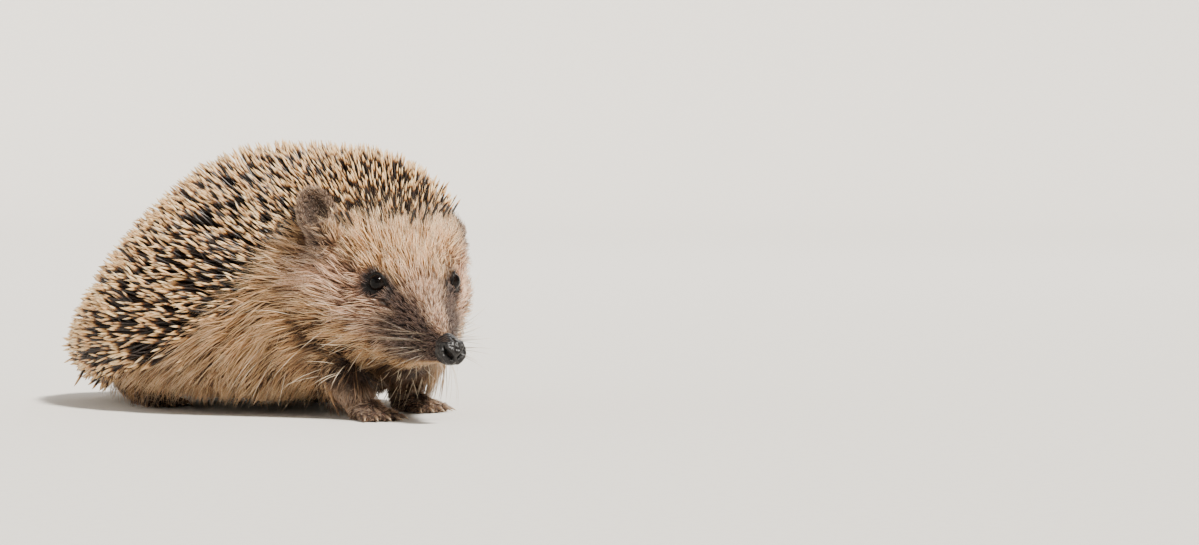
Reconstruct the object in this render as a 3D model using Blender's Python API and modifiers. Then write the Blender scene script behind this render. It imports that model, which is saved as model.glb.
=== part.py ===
"""A young European hedgehog on the walk, as a still, life-size model.

Metres, +Z up. The animal faces -Y with its head turned a little to its right (-X), and the
origin is on the floor under the middle of the whole figure. The solids reach out to the tips
of the spines and the fur, so the trunk, neck and head are the outline of the coat.
"""

import math

import bmesh
import bpy
import numpy as np
from mathutils import Matrix, Vector

MM = 0.001

# Driving dimensions, in millimetres. "Back" is the distance behind the nose tip along the body.
GAP = 0.3  # clearance between neighbouring pieces
LENGTH = 170.0  # nose tip to rump, out to the spine tips
HEAD_TURN = math.radians(14.0)  # how far the head is turned to the animal's right
TURN_STARTS, TURN_ENDS = 76.0, 36.0  # back of the stretch of neck that bends
AROUND = 36  # points round a body section
RINGS_PER_SPAN = 3  # rings from one named section to the next

# Sections of the coat's outline, from the nose tip to the rump: back, half width, top height,
# height of the widest part, lowest height, and how square the section is above and below.
SECTIONS = {
    "nose_tip": (0.0, 0.0, 19.4, 19.4, 19.4, 2.1, 2.1),
    "nose_front": (0.8, 2.5, 22.0, 19.4, 16.8, 2.1, 2.1),
    "nose_middle": (3.2, 3.7, 23.2, 19.5, 15.8, 2.1, 2.1),
    "nose_root": (6.0, 3.7, 24.4, 19.7, 15.8, 2.0, 2.0),
    "lips": (10.0, 5.4, 28.4, 20.3, 15.0, 2.0, 1.9),
    "muzzle": (16.5, 9.2, 34.8, 24.0, 14.4, 2.0, 1.8),
    "eyes": (24.5, 15.2, 44.8, 29.2, 13.4, 2.0, 1.8),
    "brow": (31.0, 20.8, 58.0, 31.8, 12.0, 1.95, 1.8),
    "forehead": (37.0, 25.0, 68.6, 33.0, 9.6, 1.95, 1.9),
    "ears": (46.0, 29.2, 73.2, 32.0, 6.6, 1.95, 2.1),
    "nape": (57.0, 34.6, 74.4, 28.0, 4.6, 1.9, 2.4),
    "shoulders": (71.0, 40.6, 75.0, 24.5, 3.6, 1.8, 2.7),
    "ribs": (91.0, 45.0, 75.4, 22.0, 3.0, 1.72, 2.9),
    "loins": (112.0, 45.0, 72.6, 20.5, 3.0, 1.68, 2.9),
    "hips": (130.0, 41.5, 61.5, 19.5, 3.2, 1.7, 2.8),
    "croup": (145.0, 34.5, 47.0, 18.4, 3.6, 1.8, 2.7),
    "rump": (158.0, 25.5, 35.0, 17.4, 4.6, 1.9, 2.5),
    "tail_root": (166.5, 14.5, 26.0, 16.4, 7.0, 2.0, 2.2),
    "rump_end": (LENGTH, 0.0, 16.4, 16.4, 16.4, 2.0, 2.0),
}

EYE_RADIUS = 2.5
EYE_BACK, EYE_SIDE, EYE_HEIGHT = 24.0, 12.0, 37.2
NOSTRIL_RADIUS = 1.0
NOSTRIL_SIDE, NOSTRIL_HEIGHT, NOSTRIL_BACK = 2.3, 19.4, 0.8

EAR_HALF = Vector((6.4, 4.6, 8.6))  # across, through and along the pinna
EAR_HOLLOW = Vector((5.3, 4.4, 7.4))
EAR_HOLLOW_SHIFT = 2.1
# Ears: back, side and height of the middle, then how far each leans back, leans out and faces out,
# in degrees. The left one is laid back.
EARS = {
    "ear_right": ((41.5, -22.2, 56.0), (30.0, 22.0, 40.0)),
    "ear_left": ((46.5, 21.0, 54.5), (38.0, 22.0, 46.0)),
}

TAIL_LENGTH, TAIL_RADIUS = 16.0, 3.4

TOES = 5
TOE_SPREAD = 62.0  # degrees from the first toe to the fifth
CLAY_GRAIN = 0.75  # voxel size that melts a limb's parts into one
CLAY_FACES = 860  # triangles left in a limb

# Limbs: where the sole's middle stands (side, back), foot length, foot width, turn-out in
# degrees, toe length, claw length, and the leg's own points up to the body with their radii.
LIMBS = {
    "foreleg_right": dict(
        stands=(-15.5, 36.0), foot=(12.5, 10.0), toes_out=8.0, toe=5.6, claw=3.6,
        leg=(((-16.0, 40.0, 7.0), 4.6), ((-17.5, 46.0, 15.0), 6.0), ((-19.0, 55.0, 26.0), 8.6)),
    ),
    "foreleg_left": dict(
        stands=(15.0, 53.0), foot=(12.5, 10.0), toes_out=-6.0, toe=5.6, claw=3.6,
        leg=(((15.5, 56.5, 7.0), 4.6), ((17.0, 60.0, 15.0), 6.0), ((19.0, 65.0, 26.0), 8.6)),
    ),
    "hindleg_right": dict(
        stands=(-21.0, 124.0), foot=(20.0, 10.5), toes_out=14.0, toe=6.0, claw=3.4,
        leg=(((-21.5, 130.0, 7.0), 5.6), ((-23.0, 128.0, 15.0), 7.6), ((-24.0, 122.0, 24.0), 10.0)),
    ),
    "hindleg_left": dict(
        stands=(21.0, 108.0), foot=(20.0, 10.5), toes_out=-12.0, toe=6.0, claw=3.4,
        leg=(((21.5, 114.0, 7.0), 5.6), ((23.0, 114.0, 15.0), 7.6), ((24.0, 112.0, 24.0), 10.0)),
    ),
}

# Colours are linear RGB, with roughness.
FINISHES = {
    "spiny_coat": ((0.22, 0.16, 0.10), 0.6),
    "fur": ((0.36, 0.27, 0.18), 0.8),
    "bare_skin": ((0.10, 0.075, 0.07), 0.6),
    "nose_leather": ((0.012, 0.011, 0.012), 0.3),
    "eye": ((0.006, 0.005, 0.005), 0.05),
}


# ---- the line of the body -------------------------------------------------------------------


def line_of_body(back):
    """The point on the floor under the body's middle, and the heading there, which points back."""
    radius = (TURN_STARTS - TURN_ENDS) / HEAD_TURN
    turned = min(max((TURN_STARTS - back) / (TURN_STARTS - TURN_ENDS), 0.0), 1.0) * HEAD_TURN
    straight = max(TURN_ENDS - back, 0.0)
    heading = Vector((math.sin(turned), math.cos(turned), 0.0))
    on_arc = Vector((-radius * (1 - math.cos(turned)), TURN_STARTS - radius * math.sin(turned), 0.0))
    point = on_arc - straight * heading
    if back > TURN_STARTS:
        point = Vector((0.0, back, 0.0))
    return point, heading


def beside(back, side, height):
    """A point given by its distance behind the nose tip, to the animal's left, and above the floor."""
    point, heading = line_of_body(back)
    left = Vector((heading.y, -heading.x, 0.0))
    return point + side * left + Vector((0.0, 0.0, height))


def head_matrix(point):
    """A frame at that point which is turned as the head is: +Y points back, +X to the animal's left."""
    return Matrix.Translation(point) @ Matrix.Rotation(-HEAD_TURN, 4, "Z")


def through(rows, at):
    """Catmull-Rom: the smooth curve through the rows, read at a fractional row number."""
    first = min(max(int(at), 0), len(rows) - 2)
    before = rows[max(first - 1, 0)]
    start, end = rows[first], rows[first + 1]
    after = rows[min(first + 2, len(rows) - 1)]
    t = at - first
    return 0.5 * (
        2 * start
        + (end - before) * t
        + (2 * before - 5 * start + 4 * end - after) * t**2
        + (3 * start - before - 3 * end + after) * t**3
    )


def section(at, grow=0.0, shift=0.0):
    """The ring of points of the coat's outline at a fractional section number."""
    rows = np.array(list(SECTIONS.values()))
    back, half_width, top, widest, bottom, above, below = through(rows, at).tolist()
    point, heading = line_of_body(back + shift)
    left = Vector((heading.y, -heading.x, 0.0))
    ring = []
    for k in range(AROUND):
        angle = 2 * math.pi * k / AROUND
        across, up = math.cos(angle), math.sin(angle)
        power = 2 / (above if up >= 0 else below)
        reach = (top - widest if up >= 0 else widest - bottom) + grow
        side = math.copysign(abs(across) ** power, across) * (max(half_width, 0.0) + grow)
        rise = math.copysign(abs(up) ** power, up) * reach
        ring.append(point + side * left + Vector((0.0, 0.0, widest + rise)))
    return ring


# ---- making meshes --------------------------------------------------------------------------


def new_object(name, bm, finish=None):
    """Puts a bmesh, in millimetres, into the scene as an object in metres."""
    bmesh.ops.scale(bm, vec=(MM,) * 3, verts=bm.verts)
    bmesh.ops.recalc_face_normals(bm, faces=bm.faces)
    mesh = bpy.data.meshes.new(name)
    bm.to_mesh(mesh)
    bm.free()
    obj = bpy.data.objects.new(name, mesh)
    HEDGEHOG.objects.link(obj)
    if finish:
        mesh.materials.append(material(finish))
    return obj


def material(finish):
    """The named finish as a Principled BSDF, made once."""
    found = bpy.data.materials.get(finish)
    if found:
        return found
    colour, roughness = FINISHES[finish]
    made = bpy.data.materials.new(finish)
    made.use_nodes = True
    shader = made.node_tree.nodes["Principled BSDF"]
    shader.inputs["Base Color"].default_value = (*colour, 1.0)
    shader.inputs["Roughness"].default_value = roughness
    shader.inputs["Metallic"].default_value = 0.0
    return made


def loft(bm, rings):
    """Skins a row of rings. A ring with no size closes as a point, and any other end is capped."""
    def is_point(ring):
        return max((p - ring[0]).length for p in ring) < 1e-6

    rows = []
    for ring in rings:
        points = [ring[0]] if is_point(ring) else ring
        rows.append([bm.verts.new(p) for p in points])
    for one, two in zip(rows, rows[1:]):
        count = max(len(one), len(two))
        for k in range(count):
            after = (k + 1) % count
            corners = [one[k % len(one)], one[after % len(one)], two[after % len(two)], two[k % len(two)]]
            bm.faces.new(list(dict.fromkeys(corners)))
    for row in (rows[0], rows[-1]):
        if len(row) > 1:
            bm.faces.new(row)


def body_piece(name, first, last, finish, grow=0.0):
    """The stretch of the body between two named sections, with half the gap taken off each cut."""
    names = list(SECTIONS)
    start, end = names.index(first), names.index(last)
    steps = (end - start) * RINGS_PER_SPAN
    rings = []
    for k in range(steps + 1):
        at = start + k / RINGS_PER_SPAN
        shift = 0.0
        if k == 0 and start > 0:
            shift = GAP / 2
        if k == steps and end < len(names) - 1:
            shift = -GAP / 2
        pole = (k == 0 and start == 0) or (k == steps and end == len(names) - 1)
        rings.append(section(at, 0.0 if pole else grow, shift))
    bm = bmesh.new()
    loft(bm, rings)
    return new_object(name, bm, finish)


def ellipsoid(bm, half, place, across=16, along=10):
    """A ball scaled to those half sizes and put in place by a matrix."""
    made = bmesh.ops.create_uvsphere(bm, u_segments=across, v_segments=along, radius=1.0)
    bmesh.ops.transform(bm, matrix=place @ Matrix.Diagonal((*half, 1.0)), verts=made["verts"])


def taper(bm, start, end, start_radius, end_radius, sides=14):
    """A round bar from one point to another with a ball at each end, so that bars join like clay."""
    along = Vector(end) - Vector(start)
    place = Matrix.Translation((Vector(start) + Vector(end)) / 2) @ along.to_track_quat("Z", "Y").to_matrix().to_4x4()
    bmesh.ops.create_cone(
        bm, cap_ends=True, segments=sides, radius1=start_radius, radius2=end_radius,
        depth=along.length, matrix=place,
    )
    for point, radius in ((start, start_radius), (end, end_radius)):
        ellipsoid(bm, (radius,) * 3, Matrix.Translation(point), sides, sides // 2)


def apply_modifiers(obj):
    """Swaps the object's mesh for what its modifiers make of it."""
    graph = bpy.context.evaluated_depsgraph_get()
    done = bpy.data.meshes.new_from_object(obj.evaluated_get(graph))
    obj.modifiers.clear()
    obj.data = done


def cut_away(obj, cutter, keep_cutter=True):
    """Takes the cutter's volume off the object."""
    boolean = obj.modifiers.new("cut", "BOOLEAN")
    boolean.operation = "DIFFERENCE"
    boolean.object = cutter
    apply_modifiers(obj)
    if not keep_cutter:
        bpy.data.objects.remove(cutter)


def keep_largest_shell(obj):
    """Drops the crumbs that a cut may leave beside the main body."""
    bm = bmesh.new()
    bm.from_mesh(obj.data)
    left = set(bm.verts)
    shells = []
    while left:
        queue = [left.pop()]
        shell = set(queue)
        while queue:
            for edge in queue.pop().link_edges:
                fresh = set(edge.verts) - shell
                shell |= fresh
                queue.extend(fresh)
        left -= shell
        shells.append(shell)
    shells.sort(key=len)
    crumbs = [v for shell in shells[:-1] for v in shell]
    bmesh.ops.delete(bm, geom=crumbs, context="VERTS")
    bm.to_mesh(obj.data)
    bm.free()


def shade(obj, sharp_degrees=40.0):
    obj.data.shade_smooth()
    obj.data.set_sharp_from_angle(angle=math.radians(sharp_degrees))


# ---- head -----------------------------------------------------------------------------------


def make_nose():
    """The wet leather of the snout's end, with two nostrils that open forwards and outwards."""
    nose = body_piece("nose", "nose_tip", "nose_root", "nose_leather")
    for side in (-1, 1):
        bm = bmesh.new()
        place = head_matrix(beside(NOSTRIL_BACK, side * NOSTRIL_SIDE, NOSTRIL_HEIGHT))
        ellipsoid(bm, (NOSTRIL_RADIUS, 2 * NOSTRIL_RADIUS, 1.25 * NOSTRIL_RADIUS), place, 10, 6)
        cut_away(nose, new_object("nostril", bm), keep_cutter=False)
    return nose


def make_head():
    """Snout, cheeks, brow and crown, with a socket for each eye."""
    head = body_piece("head", "nose_root", "nape", "fur")
    for side, name in ((1, "eye_left"), (-1, "eye_right")):
        centre = beside(EYE_BACK, side * EYE_SIDE, EYE_HEIGHT)
        bm = bmesh.new()
        ellipsoid(bm, (EYE_RADIUS + GAP,) * 3, Matrix.Translation(centre), 16, 10)
        cut_away(head, new_object("socket", bm), keep_cutter=False)
        bm = bmesh.new()
        ellipsoid(bm, (EYE_RADIUS,) * 3, Matrix.Translation(centre), 16, 10)
        new_object(name, bm, "eye")
    return head


def make_ear(name, middle, angles):
    """A round cupped pinna that leans back and out and stands clear of the coat."""
    lean_back, lean_out, faces_out = (math.radians(angle) for angle in angles)
    outward = math.copysign(1.0, middle[1])
    lean = (
        Matrix.Rotation(outward * faces_out, 4, "Z")
        @ Matrix.Rotation(-lean_back, 4, "X")
        @ Matrix.Rotation(outward * lean_out, 4, "Y")
    )
    place = head_matrix(beside(*middle)) @ lean
    bm = bmesh.new()
    ellipsoid(bm, EAR_HALF, place, 18, 12)
    ear = new_object(name, bm, "bare_skin")
    bm = bmesh.new()
    ellipsoid(bm, EAR_HOLLOW, place @ Matrix.Translation((0.0, -EAR_HOLLOW_SHIFT, 0.6)), 18, 12)
    cut_away(ear, new_object("hollow", bm), keep_cutter=False)
    return ear


# ---- legs and tail --------------------------------------------------------------------------


def make_limb(name, stands, foot, toes_out, toe, claw, leg):
    """A leg with a flat foot, five toes and claws, melted into one piece and cut level at the floor."""
    length, width = foot
    outward = -math.radians(toes_out)
    ground = Matrix.Translation((*stands, 0.0)) @ Matrix.Rotation(outward, 4, "Z")
    bm = bmesh.new()
    ellipsoid(bm, (width / 2, length / 2, 3.6), ground @ Matrix.Translation((0.0, 0.0, 2.6)))
    joints = [(ground @ Vector((0.0, length * 0.22, 3.4)), width * 0.42)]
    joints += [(Vector(point), radius) for point, radius in leg]
    for (one, one_radius), (two, two_radius) in zip(joints, joints[1:]):
        taper(bm, one, two, one_radius, two_radius)
    for k in range(TOES):
        share = k / (TOES - 1) - 0.5
        spread = math.radians(TOE_SPREAD) * share
        forwards = Matrix.Rotation(spread, 3, "Z") @ Vector((0.0, -1.0, 0.0))
        root = Vector((share * width * 0.62, -length * 0.30, 2.3))
        tip = root + forwards * toe * (1.0 - 0.9 * share**2) - Vector((0.0, 0.0, 0.9))
        taper(bm, ground @ root, ground @ tip, 1.75, 1.35, 10)
        point = tip + forwards * claw - Vector((0.0, 0.0, 0.9))
        taper(bm, ground @ tip, ground @ point, 0.95, 0.55, 8)
    limb = new_object(name, bm, "fur")
    melt = limb.modifiers.new("melt", "REMESH")
    melt.mode = "VOXEL"
    melt.voxel_size = CLAY_GRAIN * MM
    relax = limb.modifiers.new("relax", "SMOOTH")
    relax.factor = 0.5
    relax.iterations = 3
    apply_modifiers(limb)
    thin = limb.modifiers.new("thin", "DECIMATE")
    thin.ratio = CLAY_FACES / sum(len(p.vertices) - 2 for p in limb.data.polygons)
    apply_modifiers(limb)
    bm = bmesh.new()
    bm.from_mesh(limb.data)
    everything = bm.verts[:] + bm.edges[:] + bm.faces[:]
    bmesh.ops.bisect_plane(
        bm, geom=everything, dist=1e-6, plane_co=(0, 0, 0.4 * MM), plane_no=(0, 0, -1), clear_outer=True,
    )
    bmesh.ops.holes_fill(bm, edges=[e for e in bm.edges if e.is_boundary])
    bmesh.ops.translate(bm, vec=(0, 0, -0.4 * MM), verts=bm.verts)
    bm.to_mesh(limb.data)
    bm.free()
    return limb


def make_tail():
    """A short bare tail that hangs under the skirt of spines."""
    root = Vector((0.0, 156.0, 14.0))
    end = root + Vector((0.0, 0.80, -0.60)) * TAIL_LENGTH
    bm = bmesh.new()
    taper(bm, root, end, TAIL_RADIUS, TAIL_RADIUS * 0.4, 12)
    tail = new_object("tail", bm, "bare_skin")
    melt = tail.modifiers.new("melt", "REMESH")
    melt.mode = "VOXEL"
    melt.voxel_size = 1.1 * MM
    apply_modifiers(tail)
    thin = tail.modifiers.new("thin", "DECIMATE")
    thin.ratio = 0.25
    apply_modifiers(tail)
    return tail


# ---- the whole figure -----------------------------------------------------------------------


def stand_on_origin(objects):
    """Moves the figure so that the origin is on the floor under the middle of its box."""
    corners = np.array([v.co for obj in objects for v in obj.data.vertices])
    low, high = corners.min(0), corners.max(0)
    move = Matrix.Translation((-(low[0] + high[0]) / 2, -(low[1] + high[1]) / 2, -low[2]))
    for obj in objects:
        obj.data.transform(move)


def main():
    """Builds every piece, trims the limbs and ears back to the coat, and centres the figure."""
    make_nose()
    make_head()
    body_piece("neck", "nape", "shoulders", "spiny_coat")
    body_piece("trunk", "shoulders", "rump_end", "spiny_coat")
    whole = body_piece("whole_coat", "nose_tip", "rump_end", None, grow=GAP)
    limbs = [make_limb(name, **sizes) for name, sizes in LIMBS.items()]
    ears = [make_ear(name, *setting) for name, setting in EARS.items()]
    for piece in [*limbs, *ears, make_tail()]:
        cut_away(piece, whole)
        keep_largest_shell(piece)
    bpy.data.objects.remove(whole)
    pieces = list(HEDGEHOG.objects)
    for piece in pieces:
        shade(piece)
    stand_on_origin(pieces)


for startup in list(bpy.data.objects):
    bpy.data.objects.remove(startup)
HEDGEHOG = bpy.data.collections.new("hedgehog")
bpy.context.scene.collection.children.link(HEDGEHOG)
main()
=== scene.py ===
"""Dresses a young European hedgehog: skin, spines, fur, eyes, nose, claws and whiskers.

One skin stands for all the flesh and lies under the CAD outline by the depth of the coat. The
spines and the fur are closed meshes that grow from that skin, follow the lie of the coat and
end at the outline, so their length and slope come from the room between the two.

Places on the animal are told in body coordinates, in millimetres: how far behind the nose tip
along the bent line of the body, how far to the animal's left, and how high above the floor.
"""

import functools
import itertools
import math
import bmesh
import bpy
import numpy as np
from bpy.props import FloatProperty, FloatVectorProperty, IntProperty, PointerProperty
from mathutils import Matrix, Vector
from mathutils.bvhtree import BVHTree
from mathutils.kdtree import KDTree


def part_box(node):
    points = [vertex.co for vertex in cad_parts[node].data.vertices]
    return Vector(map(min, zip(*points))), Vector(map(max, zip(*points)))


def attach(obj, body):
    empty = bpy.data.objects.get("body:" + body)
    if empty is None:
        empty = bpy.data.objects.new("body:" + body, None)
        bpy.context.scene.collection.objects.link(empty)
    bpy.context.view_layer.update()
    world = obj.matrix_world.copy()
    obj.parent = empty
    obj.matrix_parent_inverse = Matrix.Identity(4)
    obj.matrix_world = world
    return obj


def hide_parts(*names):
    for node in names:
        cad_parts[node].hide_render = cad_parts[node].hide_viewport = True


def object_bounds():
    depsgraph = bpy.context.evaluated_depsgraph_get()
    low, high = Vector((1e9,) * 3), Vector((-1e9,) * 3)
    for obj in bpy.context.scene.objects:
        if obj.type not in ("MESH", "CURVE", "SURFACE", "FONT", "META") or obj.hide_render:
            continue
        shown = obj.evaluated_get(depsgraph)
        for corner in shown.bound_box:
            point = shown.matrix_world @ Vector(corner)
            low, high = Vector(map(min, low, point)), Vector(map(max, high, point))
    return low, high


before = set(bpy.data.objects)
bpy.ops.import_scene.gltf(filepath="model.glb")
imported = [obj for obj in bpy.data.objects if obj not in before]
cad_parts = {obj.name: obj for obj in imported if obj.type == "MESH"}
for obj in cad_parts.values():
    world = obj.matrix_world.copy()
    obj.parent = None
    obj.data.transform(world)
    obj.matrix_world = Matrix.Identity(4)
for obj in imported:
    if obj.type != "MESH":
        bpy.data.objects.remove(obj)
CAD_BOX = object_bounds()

bl_info = {
    "name": "Hedgehog",
    "version": (1, 0, 0),
    "blender": (4, 5, 0),
    "location": "3D View > Sidebar > Hedgehog",
    "description": "Dresses the hedgehog's CAD model and sets its stage",
    "category": "Object",
}

MM = 0.001
FLESH = (
    "head", "neck", "trunk", "tail", "ear_left", "ear_right",
    "foreleg_left", "foreleg_right", "hindleg_left", "hindleg_right",
)

# ---- arithmetic -----------------------------------------------------------------------------


def ease(value, low, high):
    """A smooth step from 0 at low to 1 at high."""
    t = np.clip((value - low) / (high - low), 0.0, 1.0)
    return t * t * (3 - 2 * t)


def fall(value, low, high):
    """A smooth step from 1 at low to 0 at high."""
    return 1 - ease(value, low, high)


def mix(one, two, share):
    return one + (two - one) * share


def hump(value, width):
    """1 at 0, and less on both sides of it."""
    return np.exp(-((value / width) ** 2))


def steps(value, table):
    """A line through the (at, value) pairs of a table."""
    at, values = zip(*table)
    return np.interp(value, at, values)


def unit(vectors):
    """The vectors, each with length 1."""
    return vectors / np.maximum(np.linalg.norm(vectors, axis=-1, keepdims=True), 1e-12)


def along_surface(vectors, normals):
    """The vectors laid flat on the surface, each with length 1."""
    return unit(vectors - (vectors * normals).sum(1, keepdims=True) * normals)


def turned_about(vectors, axes, angles):
    """Each vector turned about its own axis."""
    cos, sin = np.cos(angles)[:, None], np.sin(angles)[:, None]
    across = np.cross(axes, vectors)
    return vectors * cos + across * sin + axes * (axes * vectors).sum(1, keepdims=True) * (1 - cos)


def waves(points, size, seed):
    """A smooth field from about -1 to 1, whose bumps are about `size` millimetres across."""
    rng = np.random.default_rng(seed)
    field = np.zeros(len(points))
    for _ in range(5):
        direction = unit(rng.normal(size=3)) * rng.uniform(0.7, 1.4)
        field += np.sin(points @ direction * (math.tau / (size * 2 * MM)) + rng.uniform(0, math.tau))
    return field / 2.2


def off_line(places, line):
    """How far each place is from a bent line, and what share of the line its nearest point is at."""
    line = np.array(line)
    away, share = np.full(len(places), 1e9), np.zeros(len(places))
    for index, (one, two) in enumerate(zip(line, line[1:])):
        span = two - one
        t = np.clip((places - one) @ span / (span @ span), 0, 1)
        here = np.linalg.norm(places - one - t[:, None] * span, axis=1)
        share = np.where(here < away, (index + t) / (len(line) - 1), share)
        away = np.minimum(away, here)
    return away, share


def pointing(azimuth, elevation):
    """The way that an azimuth, 0 being ahead of the animal, and an elevation point, in radians."""
    flat = math.cos(elevation)
    return Vector((math.sin(azimuth) * flat, -math.cos(azimuth) * flat, math.sin(elevation)))


# ---- the line of the body -------------------------------------------------------------------

LENGTH = 170.0  # nose tip to rump
HEAD_TURN = math.radians(14.0)  # to the animal's right
TURN_STARTS, TURN_ENDS = 76.0, 36.0  # the stretch of neck that bends
TURN_RADIUS = (TURN_STARTS - TURN_ENDS) / HEAD_TURN


def origin():
    """The floor point where back and side are both 0 on the trunk's own line."""
    low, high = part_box("trunk")
    return np.array([(low.x + high.x) / 2, high.y - LENGTH * MM, 0.0])


def trunk_point(side, back, up):
    """A point told straight along the trunk's own line, without the neck's bend."""
    return Vector(origin()) + Vector((side, back, up)) * MM


def on_trunk(points):
    """The points told along the trunk's own line, and how far the neck is turned beside each."""
    x, y, z = ((np.asarray(points) - origin()) / MM).T
    return x, y, z, np.clip(np.arctan2(TURN_STARTS - y, x + TURN_RADIUS), 0.0, HEAD_TURN)


def to_body(points):
    """Body coordinates (back, side, up) of an array of points."""
    x, y, z, turn = on_trunk(points)
    from_x = x + TURN_RADIUS * (1 - np.cos(turn))
    from_y = y - TURN_STARTS + TURN_RADIUS * np.sin(turn)
    back = TURN_STARTS - TURN_RADIUS * turn + from_x * np.sin(turn) + from_y * np.cos(turn)
    return back, from_x * np.cos(turn) - from_y * np.sin(turn), z


def compass(points):
    """The unit vectors that point back along the body and to its left, beside each point."""
    turn = on_trunk(points)[3]
    flat = np.zeros_like(turn)
    back = np.stack([np.sin(turn), np.cos(turn), flat], 1)
    left = np.stack([np.cos(turn), -np.sin(turn), flat], 1)
    return back, left


def place(back, side, up):
    """The point at those body coordinates, in metres."""
    turn = min(max((TURN_STARTS - back) / TURN_RADIUS, 0.0), HEAD_TURN)
    beyond = back - (TURN_STARTS - turn * TURN_RADIUS)
    x = -TURN_RADIUS * (1 - math.cos(turn)) + beyond * math.sin(turn) + side * math.cos(turn)
    y = TURN_STARTS - TURN_RADIUS * math.sin(turn) + beyond * math.cos(turn) - side * math.sin(turn)
    return trunk_point(x, y, up)


def turned(degrees, axis):
    return Matrix.Rotation(math.radians(degrees), 4, axis)


def with_head(vector):
    """A vector told in the head's own axes."""
    return Matrix.Rotation(-HEAD_TURN, 3, "Z") @ Vector(vector)


# ---- the coat's regions ---------------------------------------------------------------------

# The lower edge of the spines, as (back, height) points seen from the side. On the crown they
# start behind a line that runs back from the middle of the brow to the ears.
SPINE_EDGE = (
    (20.0, 50.0), (44.0, 54.5), (47.0, 53.0), (50.0, 46.0), (54.0, 42.0), (57.0, 35.5),
    (60.0, 30.0), (64.0, 26.0), (70.0, 22.0), (80.0, 17.0), (92.0, 12.5), (108.0, 8.0),
    (120.0, 5.5), (132.0, 3.0), (200.0, 1.0),
)
CROWN_STARTS, CROWN_FLAT, CROWN_SWEEP, CROWN_ENDS = 28.5, 6.0, 0.45, 47.0
# Lengths and depths by how far back, in millimetres.
FUR_LENGTH = (
    (0, 0.8), (6, 1.2), (10, 1.6), (16, 2.5), (20, 3.4), (25, 5.6), (30, 8.2), (38, 10.5),
    (48, 13.0), (60, 15.0), (75, 16.0),
)
FUR_DEPTH = (
    (0, 0.6), (6, 0.7), (12, 1.0), (18, 1.4), (24, 2.3), (30, 3.5), (37, 4.8), (46, 6.0),
    (56, 6.8), (70, 7.2),
)
SPINE_LENGTH = ((31, 11.0), (36, 14.0), (44, 16.5), (54, 17.5), (150, 17.0), (166, 13.0))
# The angle between a spine and the skin, in degrees, by how much the skin faces up.
SPINE_STAND = ((-0.4, 26.0), (0.0, 30.0), (0.3, 37.0), (0.6, 46.0), (1.0, 56.0))

EYE_RADIUS = 2.5
EYE_BACK, EYE_SIDE, EYE_HEIGHT = 24.0, 12.0, 37.2
EYE_LOOKS_OUT, EYE_LOOKS_UP = 55.0, 6.0  # degrees from straight ahead
EYE_SINKS = 1.45  # how far the eyeballs sit inside their solids' places
# Lines on the right half of the face, mirrored to the left.
MOUTH = ((5.0, 0.0, 16.2), (8.0, 3.4, 16.8), (12.0, 4.9, 17.0), (17.0, 7.0, 17.2), (21.0, 9.3, 18.0))
NOSTRIL = ((0.3, 1.4, 17.6), (0.5, 1.9, 18.2), (1.0, 2.4, 19.0), (1.6, 2.8, 20.0), (1.9, 3.0, 20.8))


def past_edge(back, side, up):
    """How far inside the spines' area a place is; less than 0 in the fur."""
    away, _ = off_line(np.stack([back, up], 1), SPINE_EDGE)
    above = np.where(up > steps(back, SPINE_EDGE), away, -away)
    front = np.minimum(CROWN_STARTS + CROWN_SWEEP * np.maximum(np.abs(side) - CROWN_FLAT, 0), CROWN_ENDS)
    return np.minimum(above, (back - front) / math.hypot(1.0, CROWN_SWEEP))


def off_eye(back, side, up):
    """How far a place is from the middle of the nearer eye."""
    return np.sqrt((back - EYE_BACK) ** 2 + (np.abs(side) - EYE_SIDE) ** 2 + (up - EYE_HEIGHT) ** 2)


def off_mouth(back, side, up):
    return off_line(np.stack([back, np.abs(side), up], 1), MOUTH)[0]


def off_ear_fold(back, side, up):
    """How far a place is from the fold where the ear's front edge runs down the cheek."""
    level = np.clip(up, 45.5, 52.5)
    return np.hypot(np.hypot(back - mix(37.0, 38.5, (level - 45.5) / 7.0), np.abs(side) - 23.0), up - level)


def fur_depth(back, side, up, rise):
    depth = steps(back, FUR_DEPTH)
    depth = mix(depth, np.minimum(depth, 3.2), ease(-rise, 0.2, 0.8))
    return mix(0.5, depth, ease(off_eye(back, side, up), 3.0, 9.0))


def coat_depth(back, side, up, rise):
    """How far the skin lies under the coat's outline."""
    spines = 0.90 * steps(back, SPINE_LENGTH) * np.sin(np.radians(steps(rise, SPINE_STAND)))
    return mix(fur_depth(back, side, up, rise), spines, ease(past_edge(back, side, up), -2.0, 9.0))


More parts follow.
